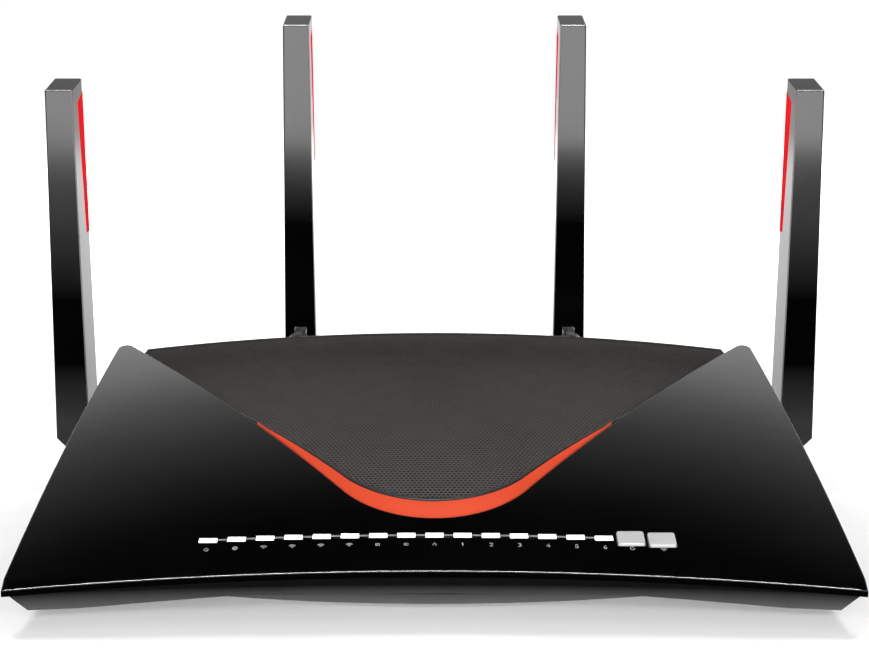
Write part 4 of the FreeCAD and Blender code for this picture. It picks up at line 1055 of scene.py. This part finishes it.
def hexagon_cell(tree, pitch):
    """One hexagon of sheet round a hole with a short wall."""
    disc = tree.add("GeometryNodeMeshCircle", {
        "Vertices": 6, "Radius": tree.sum("DIVIDE", pitch, math.sqrt(3)),
    }, fill_type="NGON")["Mesh"]
    upright_cell = tree.add("GeometryNodeTransform", {
        "Geometry": disc, "Rotation": (0, 0, math.pi / 6),
    })["Geometry"]
    ring = tree.add("GeometryNodeExtrudeMesh", {"Mesh": upright_cell, "Offset Scale": 0.0}, mode="FACES")
    hole = tree.add("GeometryNodeScaleElements", {
        "Geometry": ring["Mesh"], "Selection": ring["Top"], "Scale": tree.inputs["Hole Share"],
    })["Geometry"]
    wall = tree.add("GeometryNodeExtrudeMesh", {
        "Mesh": hole, "Selection": ring["Top"], "Offset": tree.vector(z=-1.0),
        "Offset Scale": tree.inputs["Depth"],
    }, mode="FACES")
    return tree.add("GeometryNodeDeleteGeometry", {
        "Geometry": wall["Mesh"], "Selection": wall["Top"],
    }, domain="FACE")["Geometry"]


def dome_lift(tree):
    """Height of the dome over each point."""
    wanted = tree.inputs
    split = tree.add("ShaderNodeSeparateXYZ", {"Vector": tree.add("GeometryNodeInputPosition")["Position"]})
    along = tree.sum("SUBTRACT", split["Y"], wanted["Crest"])
    length = wanted["Length Radius"]
    lengthwise = tree.sum("SQRT", tree.sum("SUBTRACT", tree.sum("MULTIPLY", length, length),
                                           tree.sum("MULTIPLY", along, along)))
    reach = tree.sum("ADD", tree.sum("SUBTRACT", wanted["Width Radius"], length), lengthwise)
    crosswise = tree.sum("SQRT", tree.sum("SUBTRACT", tree.sum("MULTIPLY", reach, reach),
                                          tree.sum("MULTIPLY", split["X"], split["X"])))
    base = tree.sum("SUBTRACT", wanted["Crest Height"], wanted["Width Radius"])
    return tree.vector(z=tree.sum("ADD", base, crosswise))


def make_grille():
    """Perforated sheet in two halves, a solid rim round it and a dark sheet under it as painted shade."""
    tree = honeycomb_tree()
    loop = grille_loop(GRILLE_RIM * 0.5)
    split = HOLE_PITCH / 4
    reach = 160 * MM
    middle = 143 * MM
    sheet_drop = 0.05 * MM
    for side, low_x, high_x in (("left", -reach, split), ("right", split, reach)):
        sheet = flat_region(f"grille_sheet_{side}", loop, low_x, high_x)
        grown(sheet, tree, Pitch=HOLE_PITCH, Hole_Share=0.81, Depth=0.15 * MM, Columns=172, Rows=124,
              Middle=back(middle), Crest=back(GRILLE_CREST[0]), Crest_Height=GRILLE_CREST[1] - sheet_drop,
              Length_Radius=GRILLE_LENGTH_RADIUS, Width_Radius=GRILLE_WIDTH_RADIUS, Material=GRILLE)
        settle(sheet, "housing", GRILLE, "grille_dark", "grille")
    rim = slab("grille_rim", [grille_loop(), grille_loop(GRILLE_RIM)], -GRILLE_THICKNESS, 0, on_dome,
               0.2 * MM, 0.0, 2)
    settle(rim, "housing", MATT_BLACK, "grille_dark")
    make_painted_shade_sheet()


def make_painted_shade_sheet():
    """Dark sheet under the perforated sheet, bent like it: painted shade where the inside lies in shadow."""
    bm = bmesh.new()
    bm.faces.new([bm.verts.new((x, y, 0)) for x, y in grille_loop(GRILLE_RIM * 0.6)])
    step = 10 * MM
    for axis, count, first in ((0, 31, -150 * MM), (1, 18, 62 * MM)):
        for index in range(count):
            where = [0, 0, 0]
            facing = [0, 0, 0]
            where[axis] = first + index * step
            facing[axis] = 1
            sliced(bm, where, facing)
    for vert in bm.verts:
        vert.co = on_dome(vert.co.x, vert.co.y, -0.9 * MM)
    mesh = bpy.data.meshes.new("painted_shade_sheet")
    bm.to_mesh(mesh)
    bm.free()
    shade_sheet = new_piece("painted_shade_sheet", mesh)
    mesh.shade_smooth()
    thickness = shade_sheet.modifiers.new("thickness", "SOLIDIFY")
    thickness.thickness = 0.5 * MM
    thickness.offset = -1
    settle(shade_sheet, "housing", SHADE_SHEET, "grille_dark")


def resampled(points, count):
    """The same path with evenly spaced points."""
    lengths = [0.0]
    for a, b in zip(points, points[1:]):
        lengths.append(lengths[-1] + (Vector(b) - Vector(a)).length)
    even = []
    position = 0
    for index in range(count):
        wanted = lengths[-1] * index / (count - 1)
        while position < len(points) - 2 and lengths[position + 1] < wanted:
            position += 1
        share = (wanted - lengths[position]) / max(lengths[position + 1] - lengths[position], 1e-12)
        even.append(Vector(points[position]).lerp(Vector(points[position + 1]), share))
    return even


def vee_path(end, bend, radius):
    """Path from the left end of the notch round its bend to the right end."""
    mirrored_bend = (-bend[0], bend[1])
    path = arc((-end[0], end[1]), mirrored_bend, LONG_RADIUS, 1, MM)
    path += arc(mirrored_bend, bend, radius, -1, MM)
    path += arc(bend, end, LONG_RADIUS, 1, MM)
    return path + [end]


def make_accent_lip():
    """Coloured riser that climbs from the cover's notch to the front edge of the grille."""
    count = 121
    depth = 2.4 * MM
    edge = 0.1 * MM
    low = resampled(vee_path(LIP_FOOT_END, VEE_BEND, VEE_BEND_RADIUS), count)
    high = resampled(vee_path(LIP_END, LIP_BEND, LIP_BEND_RADIUS), count)
    ledge = 0.5 * MM
    slope_steps = 8
    verts = []
    for foot, crest in zip(low, high):
        across = crest - foot
        across = across.normalized() if across.length > 1e-6 else Vector((0, 1))
        foot = foot + across * GAP / 2
        ledge_end = foot + across * min(ledge, (crest - foot).length * 0.3)
        level = cover_height(foot.y) + 0.05 * MM
        top = max(grille_height(crest.x, crest.y) - LIP_DROP, level)
        section = [(foot, level - depth), (foot, level - 0.2 * MM), (foot + across * edge, level)]
        for step in range(slope_steps + 1):
            share = step / slope_steps
            swell = math.sin(math.pi * share) * 0.06
            section.append((ledge_end.lerp(crest, share), level + (top - level) * min(share + swell, 1)))
        far_edge = crest + across * edge
        section += [(far_edge, top - LIP_DROP), (far_edge, level - depth)]
        verts += [(point.x, back(point.y), z) for point, z in section]
    width = slope_steps + 6
    faces = []
    for ring in range(count - 1):
        for index in range(width):
            a = ring * width + index
            b = ring * width + (index + 1) % width
            faces.append((a, b, b + width, a + width))
    faces.append(tuple(range(width - 1, -1, -1)))
    faces.append(tuple(range((count - 1) * width, count * width)))
    mesh = bpy.data.meshes.new("accent_riser")
    mesh.from_pydata(verts, [], faces)
    outward(mesh)
    settle(smooth(new_piece("accent_riser", mesh), 50), "housing", ORANGE, "accent_orange", "accent_lip")


def outward(mesh):
    """Turn all faces of a closed mesh outwards."""
    bm = bmesh.new()
    bm.from_mesh(mesh)
    bmesh.ops.recalc_face_normals(bm, faces=bm.faces)
    bm.to_mesh(mesh)
    bm.free()


# ---------------------------------------------------------------- antennas

def antenna_shape(name, side):
    """Turns a front-view position and a depth into the frame, about an antenna's hinge."""
    hinge = HINGES[name]
    height = ANTENNA_TOP + ANTENNA_FOOT

    def shape(x, z, depth):
        share = depth / ANTENNA_DEPTH[0]
        reach = ANTENNA_DEPTH[0] + (ANTENNA_DEPTH[1] - ANTENNA_DEPTH[0]) * (z + ANTENNA_FOOT) / height
        lift = ANTENNA_CROWN * (1 - share) * max(0, (z - ANTENNA_TOP / 2) / (ANTENNA_TOP / 2))
        return (side * (hinge[0] + x), back(hinge[1]) + (0.5 - share) * reach, hinge[2] + z + lift)
    return shape


def inner_side(z):
    """Where the inner side of a blade lies at a height, measured from its hinge."""
    share = (z + ANTENNA_FOOT) / (ANTENNA_TOP + ANTENNA_CROWN + ANTENNA_FOOT)
    return -(ANTENNA_WIDTH[0] + (ANTENNA_WIDTH[1] - ANTENNA_WIDTH[0]) * share) / 2


def accent_loop(inset):
    """Side view of the coloured strip near the tip: distance back and height from the hinge."""
    rear = ANTENNA_DEPTH[0] / 2
    top = ANTENNA_TOP - ACCENT_THICKNESS
    low = top - ACCENT_LENGTH
    half_top = ANTENNA_DEPTH[1] / 2
    loop = [(half_top - 6 * MM, low), (rear, low), (rear, top), (half_top - 11 * MM, top - ANTENNA_CROWN)]
    return moved_in(loop, inset)


def accent_shape(name, side):
    """Turns a side-view position and a depth into the frame, on the inner side of a blade."""
    hinge = HINGES[name]

    def shape(y, z, depth):
        return (side * (hinge[0] + inner_side(z) + depth), back(hinge[1]) + y, hinge[2] + z)
    return shape


def block(name, low, high):
    """A plain box used only to cut with."""
    mesh = bpy.data.meshes.new(name)
    bm = bmesh.new()
    bmesh.ops.create_cube(bm, size=1)
    for vert in bm.verts:
        vert.co = [low[i] + (vert.co[i] + 0.5) * (high[i] - low[i]) for i in range(3)]
    bm.to_mesh(mesh)
    bm.free()
    outward(mesh)
    return new_piece(name, mesh)


def carved(piece, cutters):
    """Cut solids out of a piece and throw the cutters away."""
    piece.modifiers.clear()
    for cutter in cutters:
        cutter.modifiers.clear()
        cut = piece.modifiers.new("cut", "BOOLEAN")
        cut.operation = "DIFFERENCE"
        cut.solver = "EXACT"
        cut.object = cutter
    applied(piece)
    for cutter in cutters:
        bpy.data.objects.remove(cutter)
    return smooth(piece)


def fork_cutters(name, side):
    """Slot for the hinge tongue and hole for its pin."""
    hinge = HINGES[name]
    corners = FORK_SLOTS[name]
    ends = [side * (hinge[0] + corner[0]) for corner in corners]
    slot = block("slot", (min(ends), back(hinge[1]) + corners[0][1], hinge[2] + corners[0][2]),
                 (max(ends), back(hinge[1]) + corners[1][1], hinge[2] + corners[1][2]))
    half = PIN_HOLE_LENGTH[name] / 2
    radius = PIN_HOLE_RADIUS
    profile = [(0, -half), (radius, -half), (radius, half), (0, half)]
    centre = (side * hinge[0], back(hinge[1]), hinge[2])
    return [slot, turned("hole", profile, centre, PIN_AXIS[name], 24)]


def make_antenna(name, side):
    """One blade with its fork, a painted highlight on its front-top and inner front edges, and coloured
    strip.
    """
    tag = f"{name}_{'right' if side > 0 else 'left'}"
    half_foot = ANTENNA_WIDTH[0] / 2
    half_top = ANTENNA_WIDTH[1] / 2
    corners = [
        (-half_foot, -ANTENNA_FOOT),
        (half_foot - FOOT_CUT, -ANTENNA_FOOT),
        (half_foot, FOOT_CUT - ANTENNA_FOOT),
        (half_top, ANTENNA_TOP),
        (-half_top, ANTENNA_TOP),
    ]
    loop = rounded(corners, 0.7 * MM, 4)
    edge = 0.75 * MM
    blade = slab(tag + "_shell", [loop], 0, ANTENNA_DEPTH[0], antenna_shape(name, side), edge, edge, 4)
    recess = slab("recess", [accent_loop(0)], -3 * MM, ACCENT_THICKNESS, accent_shape(name, side))
    blade = carved(blade, fork_cutters(name, side) + [recess])
    settle(blade, tag + "_antenna", ANTENNA_GLOSS, "antenna_black", tag + "_blade")
    paint(blade, SIDE_FRONT if name == "side" else REAR_FRONT, (0, -1, 0), 0.9)
    # Painted highlight on the edges between the front and the inner side, and between the front and the top.
    for facing in ((-side, -1, 0), (0, -1, 1)):
        paint(blade, ANTENNA_PAINTED_HIGHLIGHT, Vector(facing).normalized(), 0.9)
    blade.visible_glossy = False
    strip_loop = accent_loop(0.08 * MM)
    strip = slab(tag + "_strip", [strip_loop], 0.03 * MM, ACCENT_THICKNESS, accent_shape(name, side), 0,
                 0.2 * MM, 2)
    settle(strip, tag + "_antenna", RED, "accent_red", tag + "_accent")
    strip.visible_glossy = False


def make_antennas():
    for name in HINGES:
        for side in (1, -1):
            make_antenna(name, side)


# ---------------------------------------------------------------- housing

def skirt_height(x):
    """Lower edge of the housing's front: low at the corners, higher beside the belly."""
    share = min(max((abs(x) - SKIRT_START) / SKIRT_RUN, 0), 1)
    return SKIRT_MIDDLE - share * SKIRT_FALL


def faded(value, start, end):
    """1 up to start, falling to 0 at end."""
    return 1 - min(max((value - start) / (end - start), 0), 1)


def make_lower_housing():
    """Lower shell with an arched front edge and a slightly deeper belly; the CAD node's are flat."""
    bm = joined_copy("lower_housing")
    for index in range(-19, 20):
        sliced(bm, (index * 8 * MM, 0, 0), (1, 0, 0))
    for distance in (15, 22, 30, 38, 46, 54):
        sliced(bm, (0, back(distance * MM), 0), (0, 1, 0))
    for vert in bm.verts:
        distance = vert.co.y - FRONT_Y
        if vert.co.z < HOUSING_FOOT - 0.5 * MM:
            vert.co.z -= BELLY_DROP * faded(distance, *BELLY_FADE)
        elif vert.co.z < HOUSING_FOOT + 1.2 * MM:
            vert.co.z += (skirt_height(vert.co.x) - HOUSING_FOOT) * faded(distance, *SKIRT_FADE)
    shell = rounded_piece("lower_shell", bm, 0.35 * MM, 2)
    settle(shell, "housing", HOUSING, "housing_black", "lower_housing")


def make_housing():
    make_lower_housing()
    refine("upper_housing", "housing", HOUSING, "housing_black", 0.25 * MM)
    refine("rear_panel", "housing", PANEL, "housing_black", 0.2 * MM)


BODY_OF = {
    node: body for body, nodes in frame["record"]["behaviour"]["bodies"].items() for node in nodes
}

# Finish and corner radius of the small parts, by a word in their names.
SMALL_PARTS = {
    "lan_jack": (JACK, 0.15 * MM),
    "wan_jack": (JACK, 0.15 * MM),
    "sfp_cage": (STEEL, 0.1 * MM),
    "usb_port": (STEEL, 0.1 * MM),
    "dc_jack": (JACK, 0.2 * MM),
    "power_button": (MATT_BLACK, 0.4 * MM),
    "reset_button": (MATT_BLACK, 0.2 * MM),
    "light_switch_lever": (MATT_BLACK, 0.2 * MM),
    "fan_frame": (MATT_BLACK, 0.3 * MM),
    "heat_sink": (ALUMINIUM, 0.12 * MM),
    "shield_cans": (STEEL, 0.25 * MM),
    "fan_rotor": (MATT_BLACK, 0.12 * MM),
    "main_board": (BOARD, 0.1 * MM),
    "light_board": (BOARD, 0.1 * MM),
    "thermal_pads": (PAD, 0.15 * MM),
    "rear_switches": (JACK, 0.2 * MM),
    "rubber_feet": (RUBBER, 0.7 * MM),
    "housing_screws": (STEEL, 0.25 * MM),
    "board_screws": (STEEL, 0.25 * MM),
    "connector": (BRASS, 0.12 * MM),
    "knuckle": (KNUCKLE, 0.3 * MM),
    "hinge_pin": (STEEL, 0.3 * MM),
}


def make_small_parts():
    """Every small moulded or stamped part gets its finish and slightly rounded corners."""
    for row in frame["record"]["subparts"]:
        for word, (material, radius) in SMALL_PARTS.items():
            if word in row["node"]:
                refine(row["node"], BODY_OF[row["node"]], material, row["material_slot"], radius)


def make_rear_marks():
    """Socket numbers and generic signs on the panel at the back."""
    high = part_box("rear_panel")[1]
    size = SIGN_SIZE
    foot = PANEL_SIGN_FOOT

    def shape(x, z, depth):
        return (-x, high[1] + depth, z)

    signs = {f"lan_jack_{number + 1}": sign for number, sign in enumerate(DIGITS)}
    signs.update(wan_jack=GLOBE_SIGN, usb_port_1=DRIVE_SIGN, usb_port_2=DRIVE_SIGN, dc_jack=LINK_SIGN,
                 power_button=POWER_SIGN, reset_button=ARROW_SIGN)
    loops = []
    for node, sign in signs.items():
        node_low, node_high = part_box(node)
        middle = (node_low[0] + node_high[0]) / 2
        for path in sign:
            loops.append(ribbon([((u - 0.5) * size - middle, foot + v * size) for u, v in path], PANEL_LINE))
    printed("panel_print", loops, PRINT, shape, "housing_black")


def contact_tree():
    """A row of thin sprung contacts along X, starting where the region given lies."""
    tree = Tree("contacts", {
        "Count": "NodeSocketInt", "Pitch": "NodeSocketFloat", "Width": "NodeSocketFloat",
        "Length": "NodeSocketFloat", "Material": "NodeSocketMaterial",
    })
    wanted = tree.inputs
    line = tree.add("GeometryNodeMeshLine", {
        "Count": wanted["Count"], "Offset": tree.vector(wanted["Pitch"]),
    })["Mesh"]
    start = tree.add("GeometryNodeInputPosition")["Position"]
    first = tree.add("GeometryNodeSampleIndex", {
        "Geometry": wanted["Geometry"], "Value": start, "Index": 0,
    }, data_type="FLOAT_VECTOR")["Value"]
    placed = tree.add("GeometryNodeSetPosition", {"Geometry": line, "Offset": first})["Geometry"]
    wire = tree.add("GeometryNodeMeshCylinder", {
        "Vertices": 8, "Radius": tree.sum("MULTIPLY", wanted["Width"], 0.5), "Depth": wanted["Length"],
    })["Mesh"]
    tilted = tree.add("GeometryNodeTransform", {
        "Geometry": wire, "Rotation": (CONTACT_TILT, 0, 0),
    })["Geometry"]
    row = tree.add("GeometryNodeInstanceOnPoints", {"Points": placed, "Instance": tilted})["Instances"]
    return tree.finish(row)


def make_contacts():
    """A row of gold contacts across the inside of every network socket."""
    tree = contact_tree()
    half_row = CONTACT_PITCH * (CONTACT_COUNT - 1) / 2
    for row in frame["record"]["subparts"]:
        node = row["node"]
        if "jack" not in node or node == "dc_jack":
            continue
        low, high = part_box(node)
        middle = (low[0] + high[0]) / 2
        mesh = bpy.data.meshes.new(node + "_contacts")
        first = (middle - half_row, high[1] - CONTACT_AHEAD, high[2] - CONTACT_BELOW)
        mesh.from_pydata([first], [], [])
        wires = new_piece(node + "_contacts", mesh)
        grown(wires, tree, Count=CONTACT_COUNT, Pitch=CONTACT_PITCH, Width=CONTACT_WIDTH,
              Length=CONTACT_LENGTH, Material=BRASS)
        settle(wires, "housing", BRASS, "brass")


def make_panel_bars():
    """Fill the two gaps that the CAD panel leaves open between sockets; no CAD node holds these bars."""
    panel_low, panel_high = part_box("rear_panel")

    def shape(x, z, depth):
        return (x, panel_high[1] + depth, z)

    gaps = (("jack_bar", "lan_jack_6", "wan_jack"), ("usb_bar", "usb_port_2", "usb_port_1"))
    for name, left, right in gaps:
        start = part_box(left)[1][0] + GAP
        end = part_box(right)[0][0] - GAP
        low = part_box(left)[0][2] - GAP
        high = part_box(left)[1][2] + GAP
        loop = rectangle((start + end) / 2, (low + high) / 2, end - start, high - low)
        bar = slab(name, [loop], panel_low[1] - panel_high[1], 0, shape, 0.1 * MM, 0.0, 2)
        settle(bar, "housing", PANEL, "housing_black")


# ---------------------------------------------------------------- build

finish_nodes()
make_camera()
make_studio()
make_cover()
make_lights()
make_buttons()
make_marks()
make_grille()
make_accent_lip()
make_antennas()
make_housing()
make_small_parts()
make_contacts()
make_rear_marks()
make_panel_bars()
